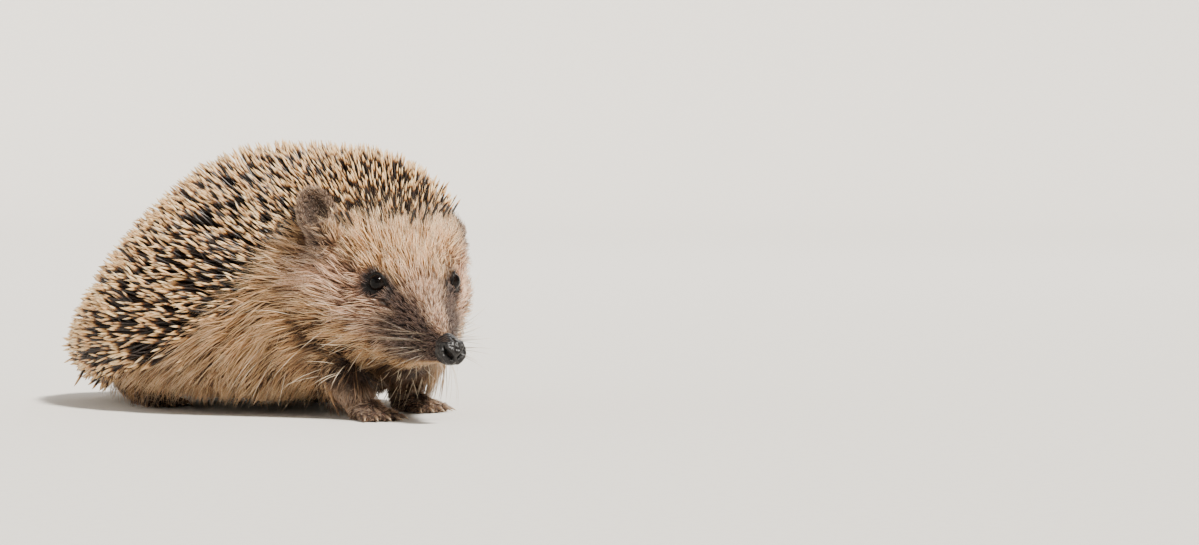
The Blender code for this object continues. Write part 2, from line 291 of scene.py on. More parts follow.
def markings(back, side, up):
    """How much of each marking's colour a place has, the same for the skin and the coat. dusk is painted
    shade, not a marking: darker under the head and low on the body.
    """
    aside = np.abs(side)
    ring = fall(off_eye(back, side, up), 3.4, 5.0)
    ring = ring * (1 - 0.8 * ease(up, 37.5, 39.5) * fall(aside, 9.5, 11.5))
    t = np.clip((EYE_BACK - back) / 13.0, 0.0, 1.0)
    off_streak = np.hypot(aside - mix(10.5, 5.5, t), up - mix(37.0, 26.0, t))
    streak = fall(off_streak, 1.8, 4.4) * ease(back, 8, 11) * fall(back, 24, 27)
    high = ease(up, 26, 31)
    behind_nose = ease(back, 6, 12)
    off_bridge = ease(aside, mix(0.6, 2.0, behind_nose), mix(2.4, 5.0, behind_nose))
    muzzle = fall(back, mix(17, 14, high), mix(27, 21, high))
    muzzle = muzzle * mix(0.10, 1.0, off_bridge) * ease(up, 14.0, 17.0)
    # Painted shade: darker along the fold where the ear's front edge meets the cheek.
    painted_ear_fold_shade = 0.9 * fall(off_ear_fold(back, side, up), 2.0, 5.0)
    brow = ease(back, 14, 22) * ease(up, 31, 41) * (1 - 0.6 * ease(aside, 12, 21))
    chin = fall(up, 14.0, 17.5) * fall(back, 20, 30)
    # The rosy patch runs from beside the muzzle up behind the eye; the bridge shares its colour.
    t = np.clip((back - 21.0) / 13.0, 0.0, 1.0)
    off_cheek = np.hypot(aside - mix(10.5, 20.5, t), up - mix(26.5, 40.0, t))
    cheek = fall(off_cheek, 4.0, 11.0) * ease(back, 16, 20) * fall(back, 38, 47)
    bridge = fall(back, 17, 25) * fall(aside, 4, 9) * ease(up, 22, 26)
    # Painted shade: the throat and chest under the head, and more lightly the low body behind them, are
    # darkened where the head and body shade them.
    painted_throat_shade = fall(up, 12, 19) * ease(up, 4, 8) * ease(back, 22, 30) * fall(back, 70, 90)
    painted_throat_shade = painted_throat_shade * fall(aside, 15, 22)
    return {
        "dusk": np.maximum(painted_throat_shade, 0.22 * fall(up, 10, 26) * ease(back, 30, 50)),
        "cream": np.maximum(brow, 0.20 * chin),
        "rosy": np.maximum(cheek, bridge),
        "mask": np.maximum(np.maximum(ring, streak), np.maximum(muzzle, painted_ear_fold_shade)),
    }


# ---- making meshes --------------------------------------------------------------------------


def add_object(name, data):
    piece = bpy.data.objects.new(name, data)
    bpy.context.scene.collection.objects.link(piece)
    return piece


def object_from(name, bm):
    mesh = bpy.data.meshes.new(name)
    bm.to_mesh(mesh)
    bm.free()
    return add_object(name, mesh)


def remove(*pieces):
    for piece in pieces:
        bpy.data.objects.remove(piece)


def numbers(items, key, width=1, kind=np.float32):
    """One property of a mesh's items as an array."""
    flat = np.empty(len(items) * width, kind)
    items.foreach_get(key, flat)
    return flat.reshape(-1, width) if width > 1 else flat


def positions(mesh):
    return numbers(mesh.vertices, "co", 3).astype(float)


def normals_of(mesh):
    return numbers(mesh.vertex_normals, "vector", 3).astype(float)


def set_positions(mesh, points):
    mesh.vertices.foreach_set("co", points.astype(np.float32).ravel())
    mesh.update()


def add_number(mesh, name, values):
    """Keeps one number per vertex for the materials to read."""
    layer = mesh.attributes.new(name, "FLOAT", "POINT")
    layer.data.foreach_set("value", np.asarray(values, np.float32))


def apply_modifiers(piece):
    graph = bpy.context.evaluated_depsgraph_get()
    done = bpy.data.meshes.new_from_object(piece.evaluated_get(graph))
    piece.modifiers.clear()
    piece.data = done


def relax(piece, times):
    """Evens out the surface."""
    smooth = piece.modifiers.new("relax", "SMOOTH")
    smooth.factor = 0.5
    smooth.iterations = times
    apply_modifiers(piece)


def melt(piece, grain, times):
    """Turns whatever overlaps in the piece into one closed surface, with faces a grain wide."""
    remesh = piece.modifiers.new("melt", "REMESH")
    remesh.mode = "VOXEL"
    remesh.voxel_size = grain * MM
    relax(piece, times)


def keep_largest(mesh):
    """Drops the crumbs that melting can leave inside a piece."""
    bm = bmesh.new()
    bm.from_mesh(mesh)
    waiting, islands = set(bm.verts), []
    while waiting:
        island, border = set(), {waiting.pop()}
        while border:
            island |= border
            border = {e.other_vert(v) for v in border for e in v.link_edges} - island
        waiting -= island
        islands.append(island)
    islands.sort(key=len)
    for crumb in islands[:-1]:
        bmesh.ops.delete(bm, geom=list(crumb), context="VERTS")
    bm.to_mesh(mesh)
    bm.free()


def refine(mesh, chosen, cuts):
    """Splits the faces whose corners are all chosen, for detail finer than the rest of the skin."""
    bm = bmesh.new()
    bm.from_mesh(mesh)
    keep = set(np.nonzero(chosen)[0].tolist())
    edges = [e for e in bm.edges if e.verts[0].index in keep and e.verts[1].index in keep]
    bmesh.ops.subdivide_edges(bm, edges=edges, cuts=cuts, use_grid_fill=True, smooth=0.2)
    bmesh.ops.triangulate(bm, faces=[f for f in bm.faces if len(f.verts) > 4])
    bm.to_mesh(mesh)
    bm.free()


def ball(bm, half, matrix, across, along):
    """A ball scaled to those half sizes, in millimetres, and put in place."""
    made = bmesh.ops.create_uvsphere(bm, u_segments=across, v_segments=along, radius=MM)
    bmesh.ops.transform(bm, matrix=matrix @ Matrix.Diagonal((*half, 1.0)), verts=made["verts"])


def ball_object(name, half, matrix):
    bm = bmesh.new()
    ball(bm, half, matrix, 48, 32)
    return object_from(name, bm)


def bar(bm, start, end, start_radius, end_radius, sides=16):
    """A round bar between two points, with a ball at each end; radii in millimetres."""
    along = end - start
    upright = along.to_track_quat("Z", "Y").to_matrix().to_4x4()
    bmesh.ops.create_cone(
        bm, cap_ends=True, segments=sides, radius1=start_radius * MM, radius2=end_radius * MM,
        depth=along.length, matrix=Matrix.Translation((start + end) / 2) @ upright,
    )
    for point, radius in ((start, start_radius), (end, end_radius)):
        ball(bm, (radius,) * 3, Matrix.Translation(point), sides, sides // 2)


def joined(name, pieces):
    """One object that holds all the pieces' faces, as they lie."""
    bm = bmesh.new()
    for piece in pieces:
        bm.from_mesh(piece.data)
    return object_from(name, bm)


def solids(*names):
    return [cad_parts[name] for name in names]


def finish(piece, material):
    """Gives the piece its material and smooth shading."""
    piece.data.materials.clear()
    piece.data.materials.append(material)
    piece.data.shade_smooth()
    return piece


# ---- materials ------------------------------------------------------------------------------


def linear(colour):
    """An sRGB hex colour as linear red, green, blue and alpha. What isn't hex stays as it is."""
    if not isinstance(colour, str):
        return colour
    parts = [int(colour[k : k + 2], 16) / 255 for k in (0, 2, 4)]
    return (*(c / 12.92 if c <= 0.04045 else ((c + 0.055) / 1.055) ** 2.4 for c in parts), 1.0)


def plug(node, **inputs):
    """Sets a node's inputs, told by name or by _number, to values or to other nodes' outputs."""
    for key, value in inputs.items():
        socket = node.inputs[int(key[1:])] if key[0] == "_" else node.inputs[key.replace("_", " ")]
        if isinstance(value, bpy.types.NodeSocket):
            node.id_data.links.new(value, socket)
        else:
            socket.default_value = linear(value)


def add_node(tree, kind, settings=None, **inputs):
    """Adds a shader node with its settings and its inputs."""
    node = tree.nodes.new(kind)
    for key, value in (settings or {}).items():
        setattr(node, key, value)
    plug(node, **inputs)
    return node


def new_material(name, **inputs):
    """A named Principled material, its node tree and its shader."""
    made = bpy.data.materials.new(name)
    made.use_nodes = True
    shader = made.node_tree.nodes["Principled BSDF"]
    plug(shader, **inputs)
    return made, made.node_tree, shader


def read(tree, name):
    """The number that the mesh keeps under that name."""
    return add_node(tree, "ShaderNodeAttribute", {"attribute_name": name}).outputs["Fac"]


def ramp(tree, factor, stops):
    """Colours, given as (position, colour) stops, picked by a factor."""
    node = add_node(tree, "ShaderNodeValToRGB", Fac=factor)
    elements = node.color_ramp.elements
    while len(elements) < len(stops):
        elements.new(0.5)
    for element, (position, colour) in zip(elements, stops):
        element.position = position
        element.color = linear(colour)
    return node.outputs["Color"]


def blend(tree, one, two, share, how="MIX"):
    """Two colours mixed by a share."""
    settings = {"data_type": "RGBA", "blend_type": how}
    return add_node(tree, "ShaderNodeMix", settings, _0=share, _6=one, _7=two).outputs[2]


def spread(tree, value, low, high, to_low, to_high):
    """A number moved from one range to another, and kept in it."""
    node = add_node(tree, "ShaderNodeMapRange", None, _0=value, _1=low, _2=high, _3=to_low, _4=to_high)
    return node.outputs["Result"]


def bump(tree, height, millimetres, strength):
    """The normal of a relief that is so many millimetres high."""
    inputs = {"Height": height, "Strength": strength, "Distance": millimetres * MM}
    return add_node(tree, "ShaderNodeBump", **inputs).outputs["Normal"]


def pattern(tree, kind, size, settings=None, **inputs):
    """The outputs of a pattern whose features are so many millimetres wide, fixed to the object."""
    where = add_node(tree, "ShaderNodeTexCoord").outputs["Object"]
    return add_node(tree, kind, settings, Vector=where, Scale=1.0 / (size * MM), **inputs).outputs


def marked(tree, plain, coat):
    """The plain colour with the animal's markings and its painted shade laid over it."""
    for name, colour in coat.items():
        plain = blend(tree, plain, colour, read(tree, name))
    return plain


def tinted(tree, base, share, stops):
    """The colour with each strand's own tint over it."""
    hue = add_node(tree, "ShaderNodeTexWhiteNoise", {"noise_dimensions": "1D"}, W=read(tree, "chance"))
    return blend(tree, base, ramp(tree, hue.outputs["Value"], stops), share, "MULTIPLY")


def hide_material():
    """Thin living skin: soft-edged light through it, fine pores, darker and damp at the lids."""
    made, tree, shader = new_material(
        "living_hide", IOR=1.4, Specular_IOR_Level=0.25, Subsurface_Weight=0.1, Subsurface_Scale=0.5 * MM,
    )
    pores = pattern(tree, "ShaderNodeTexVoronoi", 0.45)["Distance"]
    blotch = spread(tree, pattern(tree, "ShaderNodeTexNoise", 6.0, Detail=4.0)["Fac"], 0.3, 0.7, 0.0, 1.0)
    # dusk darkens the skin as painted shade under the head and low on the body.
    base = marked(tree, ramp(tree, blotch, ((0.0, "1E1611"), (1.0, "3A2B21"))), {
        # mask: the face's own dark mask, plus painted shade in the ear's fold.
        "dusk": "2A1E16", "cream": "6E5238", "rosy": "5E463A", "mask": "181110", "ash": "4A3B33",
        "lid": "090605",
    })
    damp = spread(tree, read(tree, "lid"), 0.0, 1.0, 0.75, 0.42)
    plug(shader, Base_Color=base, Roughness=damp, Normal=bump(tree, pores, 0.12, 0.6))
    return made


def spine_material(look):
    """Spine keratin, a hard waxy horn: cream with one brown band under the tip, lightly glossy; the root is
    painted brown as the shade deep between the spines.
    """
    made, tree, shader = new_material("spine_keratin", Roughness=0.36, IOR=1.54)
    shift = spread(tree, read(tree, "chance"), 0.0, 1.0, -0.06, 0.05)
    at = add_node(tree, "ShaderNodeMath", {"operation": "ADD"}, _0=read(tree, "along"), _1=shift)
    # The root end is painted dark brown rather than its own cream: painted shade deep in the coat between
    # the spines. The band under the tip is the spine's own.
    bands_and_root_shade = ramp(tree, at.outputs[0], (
        (0.00, "6A543E"), (0.35, "4A3626"), (0.45, tuple(look.spine_band)), (0.785, tuple(look.spine_band)),
        (0.825, "7A5128"), (0.86, tuple(look.spine_tip)), (0.93, "FFE9C4"), (1.00, "F0D6A8"),
    ))
    base = tinted(tree, bands_and_root_shade, 0.75, (
        (0.0, "FFFFFF"), (0.30, "F6E6CC"), (0.58, "E2C090"), (0.82, "B88E58"), (1.0, "6E5030"),
    ))
    # Fine ridges run the length of a spine; they are drawn as a coarse grain that can be seen.
    grain = pattern(tree, "ShaderNodeTexNoise", 0.5, Detail=3.0)["Fac"]
    plug(shader, Base_Color=base, Normal=bump(tree, grain, 0.05, 0.5))
    return made


def hair_material(name, roughness, refraction, shade, plain, **coat):
    """Ramps along the hair, picked by the markings and the painted shade, each hair a little lighter or
    darker.
    """
    made, tree, shader = new_material(name, Roughness=roughness, IOR=refraction)
    along = read(tree, "along")
    runs = {key: ramp(tree, along, stops) for key, stops in coat.items()}
    tone = ramp(tree, read(tree, "chance"), [(at, (c, c, c, 1.0)) for at, c in shade])
    base = blend(tree, marked(tree, ramp(tree, along, plain), runs), tone, 1.0, "MULTIPLY")
    plug(shader, Base_Color=tinted(tree, base, 0.9, (
        (0.0, "FFFFFF"), (0.35, "FCEACC"), (0.65, "F4E0D4"), (0.88, "D2B08A"), (1.0, "8E725A"),
    )))
    return made


def guard_material():
    """Coarse guard hair: straw with a brown root, smooth enough to shine along its length."""
    return hair_material(
        "coarse_hair", 0.42, 1.55,
        shade=((0.0, 0.24), (0.11, 0.38), (0.22, 0.80), (0.45, 1.0), (1.0, 1.0)),
        plain=((0.0, "38281B"), (0.22, "765839"), (0.5, "D0AC80"), (1.0, "FFEACC")),
        # dusk: hair darkened as painted shade under the head and low on the body.
        dusk=((0.0, "20150D"), (0.5, "3E2B1A"), (1.0, "74573A")),
        cream=((0.0, "6E4C2E"), (0.18, "CE9C66"), (0.4, "FFDDB0"), (1.0, "FFF4E0")),
        rosy=((0.0, "54392C"), (0.22, "B4907A"), (0.5, "F2D4BE"), (1.0, "FFF0E2")),
        # mask: the face's own dark mask, plus painted shade in the ear's fold.
        mask=((0.0, "160E0C"), (0.5, "3E2D28"), (1.0, "A8948C")),
        ash=((0.0, "2E241F"), (0.5, "86725F"), (1.0, "D8C4B8")),
    )


def underfur_material():
    """Soft underfur: short, dull and dark, its dark colour painted shade between the guard hairs."""
    return hair_material(
        "soft_underfur", 0.75, 1.5,
        shade=((0.0, 0.6), (1.0, 1.0)),
        plain=((0.0, "20150D"), (0.6, "463221"), (1.0, "80623F")),
        # dusk: hair darkened as painted shade under the head and low on the body.
        dusk=((0.0, "140D08"), (1.0, "33241A")),
        cream=((0.0, "4E3824"), (0.6, "A07A52"), (1.0, "D8B488")),
        rosy=((0.0, "4A352B"), (0.6, "8E6F5E"), (1.0, "C8A792")),
        # mask: the face's own dark mask, plus painted shade in the ear's fold.
        mask=((0.0, "120C0B"), (1.0, "3A2B27")),
        ash=((0.0, "1E1714"), (1.0, "5A4A41")),
    )


def stray_material():
    """Long loose pale hairs: smooth and ivory, the brightest lines under the cheek."""
    return new_material("pale_hair", Base_Color="F4E0C4", Roughness=0.4, IOR=1.55)[0]


def nose_material():
    """Wet leather over pebbles half a millimetre wide, which break the shine into many points."""
    made, tree, shader = new_material("wet_nose_leather", IOR=1.4, Coat_Roughness=0.2)
    smooth = {"feature": "SMOOTH_F1"}
    pebbles = pattern(tree, "ShaderNodeTexVoronoi", 0.5, smooth, Smoothness=0.35)["Distance"]
    pit = read(tree, "pit")
    # The pebbles' tops are lighter and the grooves between them darker: painted shade in the grooves.
    leather = ramp(tree, pebbles, ((0.0, "1E1A1A"), (0.7, "080606")))
    lower = add_node(tree, "ShaderNodeMath", {"operation": "MULTIPLY"}, _0=pebbles, _1=-1.0)
    plug(
        # The nostrils are painted near black: painted shade inside them.
        shader, Base_Color=blend(tree, leather, linear("030202"), pit),
        Roughness=spread(tree, pit, 0.2, 0.9, 0.36, 0.9), Coat_Weight=spread(tree, pit, 0.2, 0.9, 0.12, 0.0),
        Normal=bump(tree, lower.outputs[0], 0.16, 0.8),
    )
    return made


def eye_material():
    """A wet cornea over a brown iris so dark that only its rim tells it from the pupil."""
    made, tree, shader = new_material("wet_dark_eye", Roughness=0.05, IOR=1.376, Specular_IOR_Level=0.20)
    plug(shader, Base_Color=ramp(tree, read(tree, "from_pupil"), (
        (0.0, "050404"), (0.42, "070505"), (0.55, "160F0C"), (0.80, "120C0A"), (1.0, "060505"),
    )))
    return made


def claw_material():
    """Horn claws: translucent brown, darker at the root and worn pale at the tip."""
    made, tree, shader = new_material("horn_claw", Roughness=0.32, IOR=1.54)
    grain = pattern(tree, "ShaderNodeTexNoise", 0.5, Detail=2.0)["Fac"]
    horn = ramp(tree, read(tree, "along"), ((0.0, "3E2F26"), (0.6, "7B6450"), (1.0, "C2AC90")))
    plug(shader, Base_Color=horn, Normal=bump(tree, grain, 0.05, 0.4))
    return made


def whisker_material():
    """Whisker keratin: stiff, smooth and dark, fading to a pale translucent end."""
    made, tree, shader = new_material("whisker_keratin", Roughness=0.3, IOR=1.54)
    plug(shader, Base_Color=ramp(tree, read(tree, "along"), ((0.0, "1C1512"), (1.0, "BFA88C"))))
    return made


def floor_material(look):
    """Seamless studio paper: matt, pale and faintly fibrous."""
    made, tree, shader = new_material("studio_paper", Roughness=0.9)
    fibres = pattern(tree, "ShaderNodeTexNoise", 3.0, Detail=5.0)["Fac"]
    pale = tuple(look.floor)
    darker = tuple(c * 0.96 for c in pale[:3]) + (1.0,)
    paper = ramp(tree, fibres, ((0.3, darker), (0.7, pale)))
    plug(shader, Base_Color=paper, Normal=bump(tree, fibres, 0.1, 0.2))
    return made


# ---- the skin -------------------------------------------------------------------------------

# Ears: back, side and height of the middle, then degrees of lean back, lean out and facing out.
EARS = (
    ((40.6, -21.8, 55.4), (30.0, 22.0, 40.0)),
    ((45.6, 20.6, 54.0), (38.0, 22.0, 46.0)),
)
EAR_HALF = (4.8, 3.6, 7.9)
EAR_HOLLOW, EAR_HOLLOW_SHIFT = (4.1, 3.8, 7.1), (0.0, -1.6 * MM, 0.6 * MM)

# Limbs: where the sole's middle stands, foot length and width, turn-out in degrees, length of
# toes and claws, and the leg's points up into the body with their radii.
LIMBS = (
    ((-15.5, 36.0), (12.5, 10.0), 8.0, 5.6, 3.6,
     (((-16.0, 40.0, 7.0), 4.6), ((-17.5, 46.0, 15.0), 6.0), ((-19.0, 55.0, 26.0), 8.6))),
    ((15.0, 53.0), (12.5, 10.0), -6.0, 5.6, 3.6,
     (((15.5, 56.5, 7.0), 4.6), ((17.0, 60.0, 15.0), 6.0), ((19.0, 65.0, 26.0), 8.6))),
    ((-21.0, 124.0), (20.0, 10.5), 14.0, 6.0, 3.4,
     (((-21.5, 130.0, 7.0), 5.6), ((-23.0, 128.0, 15.0), 7.6), ((-24.0, 122.0, 24.0), 10.0))),
    ((21.0, 108.0), (20.0, 10.5), -12.0, 6.0, 3.4,
     (((21.5, 114.0, 7.0), 5.6), ((23.0, 114.0, 15.0), 7.6), ((24.0, 112.0, 24.0), 10.0))),
)
FOOT_HALF_HEIGHT = 3.6
TOES, TOE_SPREAD = 5, 62.0
SOLE_CUT = 0.4  # how much of the foot's underside is worn flat
LIMB_COAT = 0.5  # the hair's depth on the limbs
TAIL = ((0.0, 152.0, 15.0), (0.0, 168.0, 5.0))

LID_OPENS = 60.0  # degrees from the eye's axis to the lids' edge
LID_THICKNESS = 0.42
CORNER_TILT = 28.0  # how far the front corner of the eye is lower than straight ahead, in degrees
TORSO_GRAIN, SKIN_GRAIN, NOSE_GRAIN = 1.1, 0.7, 0.17
COAT_STEPS = 6  # the coat's depth comes off in so many steps, so that the skin stays smooth


def toe_lines():
    """For each toe of each limb: its root, its tip, the way it points and its claw's length."""
    found = []
    for stands, (length, width), toes_out, toe, claw, _ in LIMBS:
        foot = turned(-toes_out, "Z").to_3x3()
        sole = trunk_point(*stands, -SOLE_CUT)
        for k in range(TOES):
            share = k / (TOES - 1) - 0.5
            ahead = foot @ Matrix.Rotation(math.radians(TOE_SPREAD) * share, 3, "Z") @ Vector((0, -1, 0))
            root = sole + foot @ Vector((share * width * 0.62, -length * 0.30, 2.3)) * MM
            tip = root + (ahead * toe * (1.0 - 0.9 * share**2) - Vector((0, 0, 0.9))) * MM
            found.append((root, tip, ahead, claw * MM))
    return found


def make_limbs():
    """The legs and feet, a hair's depth inside their solids, with knuckled toes and no claws."""
    bm = bmesh.new()
    for stands, (length, width), toes_out, _, _, leg in LIMBS:
        sole = Matrix.Translation(trunk_point(*stands, -SOLE_CUT)) @ turned(-toes_out, "Z")
        half = (width / 2 - LIMB_COAT, length / 2 - LIMB_COAT, FOOT_HALF_HEIGHT - LIMB_COAT)
        ball(bm, half, sole @ Matrix.Translation((0, 0, 2.6 * MM)), 20, 14)
        joints = [(sole @ Vector((0.0, length * 0.22 * MM, 3.4 * MM)), width * 0.42)]
        joints += [(trunk_point(*point[:2], point[2] - SOLE_CUT), radius) for point, radius in leg]
        for (one, one_radius), (two, two_radius) in zip(joints, joints[1:]):
            bar(bm, one, two, one_radius - LIMB_COAT, two_radius - LIMB_COAT)
    for root, tip, _, _ in toe_lines():
        knuckle = root.lerp(tip, 0.55) + Vector((0, 0, 0.25 * MM))
        bar(bm, root, knuckle, 1.45, 1.2, 12)
        bar(bm, knuckle, tip, 1.15, 1.1, 12)
    bar(bm, trunk_point(*TAIL[0]), trunk_point(*TAIL[1]), 3.0, 1.0)
    return object_from("limbs", bm)


def ear_frames():
    """For each ear: its middle, and the matrix that stands it on the head."""
    for middle, (lean_back, lean_out, faces_out) in EARS:
        outward = math.copysign(1.0, middle[1])
        stand = Matrix.Translation(place(*middle)) @ Matrix.Rotation(-HEAD_TURN, 4, "Z")
        stand = stand @ turned(outward * faces_out, "Z") @ turned(-lean_back, "X")
        yield middle, stand @ turned(outward * lean_out, "Y")


def make_pinnae():
    """Round cupped ears with thin rims, each on a root that goes down into the head."""
    pieces = []
    for (back, side, up), stand in ear_frames():
        pinna = ball_object("pinna", EAR_HALF, stand)
        hollow = ball_object("hollow", EAR_HOLLOW, stand @ Matrix.Translation(EAR_HOLLOW_SHIFT))
        cut = pinna.modifiers.new("cut", "BOOLEAN")
        cut.operation = "DIFFERENCE"
        cut.object = hollow
        apply_modifiers(pinna)
        remove(hollow)
        bm = bmesh.new()
        foot = stand @ Vector((0, 1.0 * MM, -6.0 * MM))
        bar(bm, foot, place(back + 4.0, side * 0.55, up - 14.0), 3.0, 4.5)
        pieces += [pinna, object_from("ear_root", bm)]
    return pieces


def bare_torso():
    """Head, neck and trunk with the coat's depth taken off."""
    torso = joined("torso", solids("nose", "head", "neck", "trunk", "eye_left", "eye_right"))
    melt(torso, TORSO_GRAIN, 6)
    depth = coat_depth(*to_body(positions(torso.data)), normals_of(torso.data)[:, 2])
    add_number(torso.data, "depth", depth / COAT_STEPS)
    for _ in range(COAT_STEPS):
        less = numbers(torso.data.attributes["depth"].data, "value")[:, None]
        set_positions(torso.data, positions(torso.data) - normals_of(torso.data) * less * MM)
        relax(torso, 2)
    return torso


def eye_frames():
    """For each eye: its node, its middle, and the way it looks."""
    for node, outward in (("eye_right", -1), ("eye_left", 1)):
        low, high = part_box(node)
        look = pointing(outward * math.radians(EYE_LOOKS_OUT), math.radians(EYE_LOOKS_UP))
        look = with_head(look).normalized()
        yield node, (low + high) / 2 - look * EYE_SINKS * MM, look


def shape_lids(points):
    """Wraps the skin over each eyeball and opens it in front. Gives the points and the lids' share."""
    lid = np.zeros(len(points))
    for _, middle, look in eye_frames():
        axis = np.array(look)
        ray = points - np.array(middle)
        distance = np.linalg.norm(ray, axis=1) / MM
        angle = np.degrees(np.arccos(np.clip(unit(ray) @ axis, -1, 1)))
        ahead = np.array(with_head((0.0, -1.0, 0.0)))
        ahead = unit(ahead - axis * (ahead @ axis))
        above = unit(np.array((0.0, 0.0, 1.0)) - axis * axis[2])
        round_eye = np.degrees(np.arctan2(unit(ray) @ above, unit(ray) @ ahead))
        from_corner = np.abs((round_eye + CORNER_TILT + 180) % 360 - 180)
        almond = 13.0 * hump(from_corner, 24) - 6.0 * np.cos(np.radians(2 * (90 - from_corner)))
        past = angle - (LID_OPENS + almond)
        near = fall(distance, EYE_RADIUS + 1.4, EYE_RADIUS + 3.6) * fall(angle, 92, 120)
        folds = 0.16 * hump(past - 9, 6) - 0.10 * hump(past - 20, 4) - 0.10 * hump(past - 33, 5)
        over = EYE_RADIUS + LID_THICKNESS + folds
        radius = mix(EYE_RADIUS - 0.7, over, ease(past, -7, 3))
        radius = mix(np.maximum(radius, distance), radius, fall(past, 14, 48))
        target = np.array(middle) + unit(ray) * radius[:, None] * MM
        points = mix(points, target, near[:, None])
        lid = np.maximum(lid, near * fall(past, 10, 34))
    return points, lid


def shape_mouth(points, normals):
    """Presses in the line of the closed mouth and draws the lower jaw back under it."""
    back, side, up = to_body(points)
    groove = 0.8 * hump(off_mouth(back, side, up), 0.6)
    jaw = 0.8 * fall(up, 15.6, 17.2) * fall(back, 14, 24) * ease(back, 4, 7)
    return points - normals * ((groove + jaw) * MM)[:, None]


def ear_local(points, margin):
    """For each ear, the points in its own axes, and their size against the ear's half sizes."""
    for _, stand in ear_frames():
        inverse = np.array(stand.inverted())
        local = (points @ inverse[:3, :3].T + inverse[:3, 3]) / MM
        yield local, np.linalg.norm(local / (np.array(EAR_HALF) + margin), axis=1)


def ear_shares(points):
    """1 on the ears, on their rims and on the skin close before them, and 0 elsewhere."""
    ear, rim, before = np.zeros((3, len(points)))
    for local, size in ear_local(points, (0.0, 0.0, 0.0)):
        edge = np.hypot(local[:, 0] / EAR_HALF[0], local[:, 2] / EAR_HALF[2])
        ear = np.maximum(ear, fall(size, 1.05, 1.25) * ease(local[:, 2], -7.0, -4.5))
        rim = np.maximum(rim, ease(edge, 0.62, 0.9) * (size < 1.25))
    for local, size in ear_local(points, (3.0, 5.0, 4.0)):
        before = np.maximum(before, fall(size, 0.95, 1.2) * fall(local[:, 1], 2.2, 3.6))
    return ear, rim, before


def limb_share(points):
    """1 on the legs and feet under the belly, and 0 elsewhere."""
    share = np.zeros(len(points))
    for stands, (length, _), _, _, _, leg in LIMBS:
        for spot, reach in ((trunk_point(*stands, 2.0), length * 0.5), (trunk_point(*leg[0][0]), 2.0)):
            away = np.linalg.norm((points - np.array(spot))[:, :2], axis=1) / MM - reach
            share = np.maximum(share, fall(away, 4.0, 6.5))
    return share * fall(points[:, 2] / MM, 9.0, 13.0)


def make_skin():
    """The whole skin, from the muzzle to the tail, as one closed surface."""
    pieces = [bare_torso(), make_limbs(), *make_pinnae()]
    skin = joined("skin", pieces)
    remove(*pieces)
    melt(skin, SKIN_GRAIN, 3)
    mesh = skin.data
    keep_largest(mesh)
    refine(mesh, off_eye(*to_body(positions(mesh))) < 7.0, 2)
    refine(mesh, to_body(positions(mesh))[0] < 16.0, 1)
    points, lid = shape_lids(positions(mesh))
    set_positions(mesh, points)
    points = shape_mouth(positions(mesh), normals_of(mesh))
    points[:, 2] = np.maximum(points[:, 2], 0.1 * MM)
    set_positions(mesh, points)
    ash = np.maximum(ear_shares(points)[0], limb_share(points))
    shares = markings(*to_body(positions(mesh)))
    for name, values in {**shares, "lid": lid, "ash": ash}.items():
        add_number(mesh, name, values)
    return finish(skin, hide_material())


# ---- growing the coat -----------------------------------------------------------------------


class Roots:
    """Places on the skin, with what a strand that grows there needs to know of the coat."""

    def __init__(self, **arrays):
        self.__dict__.update(arrays)

    def __len__(self):
        return len(self.point)

    def pick(self, chosen):
        return Roots(**{name: values[chosen] for name, values in vars(self).items()})


class Outline:
    """The surface that the coat's tips reach: all the solids, melted into one."""

    def __init__(self):
        body = joined("outline", solids("nose", *FLESH))
        melt(body, 0.9, 1)
        keep_largest(body.data)
        faces = [p.vertices for p in body.data.polygons]
        self.tree = BVHTree.FromPolygons([v.co for v in body.data.vertices], faces)
        remove(body)

    def nearest(self, points):
        """The nearest points of the outline, and how far outside it each given point is."""
        spots, outside = np.empty((len(points), 3)), np.empty(len(points))
        for index, point in enumerate(points.tolist()):
            spot, normal, _, distance = self.tree.find_nearest(point)
            spots[index] = spot
            outside[index] = math.copysign(distance, (Vector(point) - spot).dot(normal))
        return spots, outside

    def way_out(self, starts, directions, longest):
        """How far it is from each start to the outline, along its direction."""
        reach = np.full(len(starts), longest)
        for index, (start, direction) in enumerate(zip(starts.tolist(), directions.tolist())):
            spot, _, _, distance = self.tree.ray_cast(start, direction, longest)
            if spot is not None:
                reach[index] = distance
        return reach


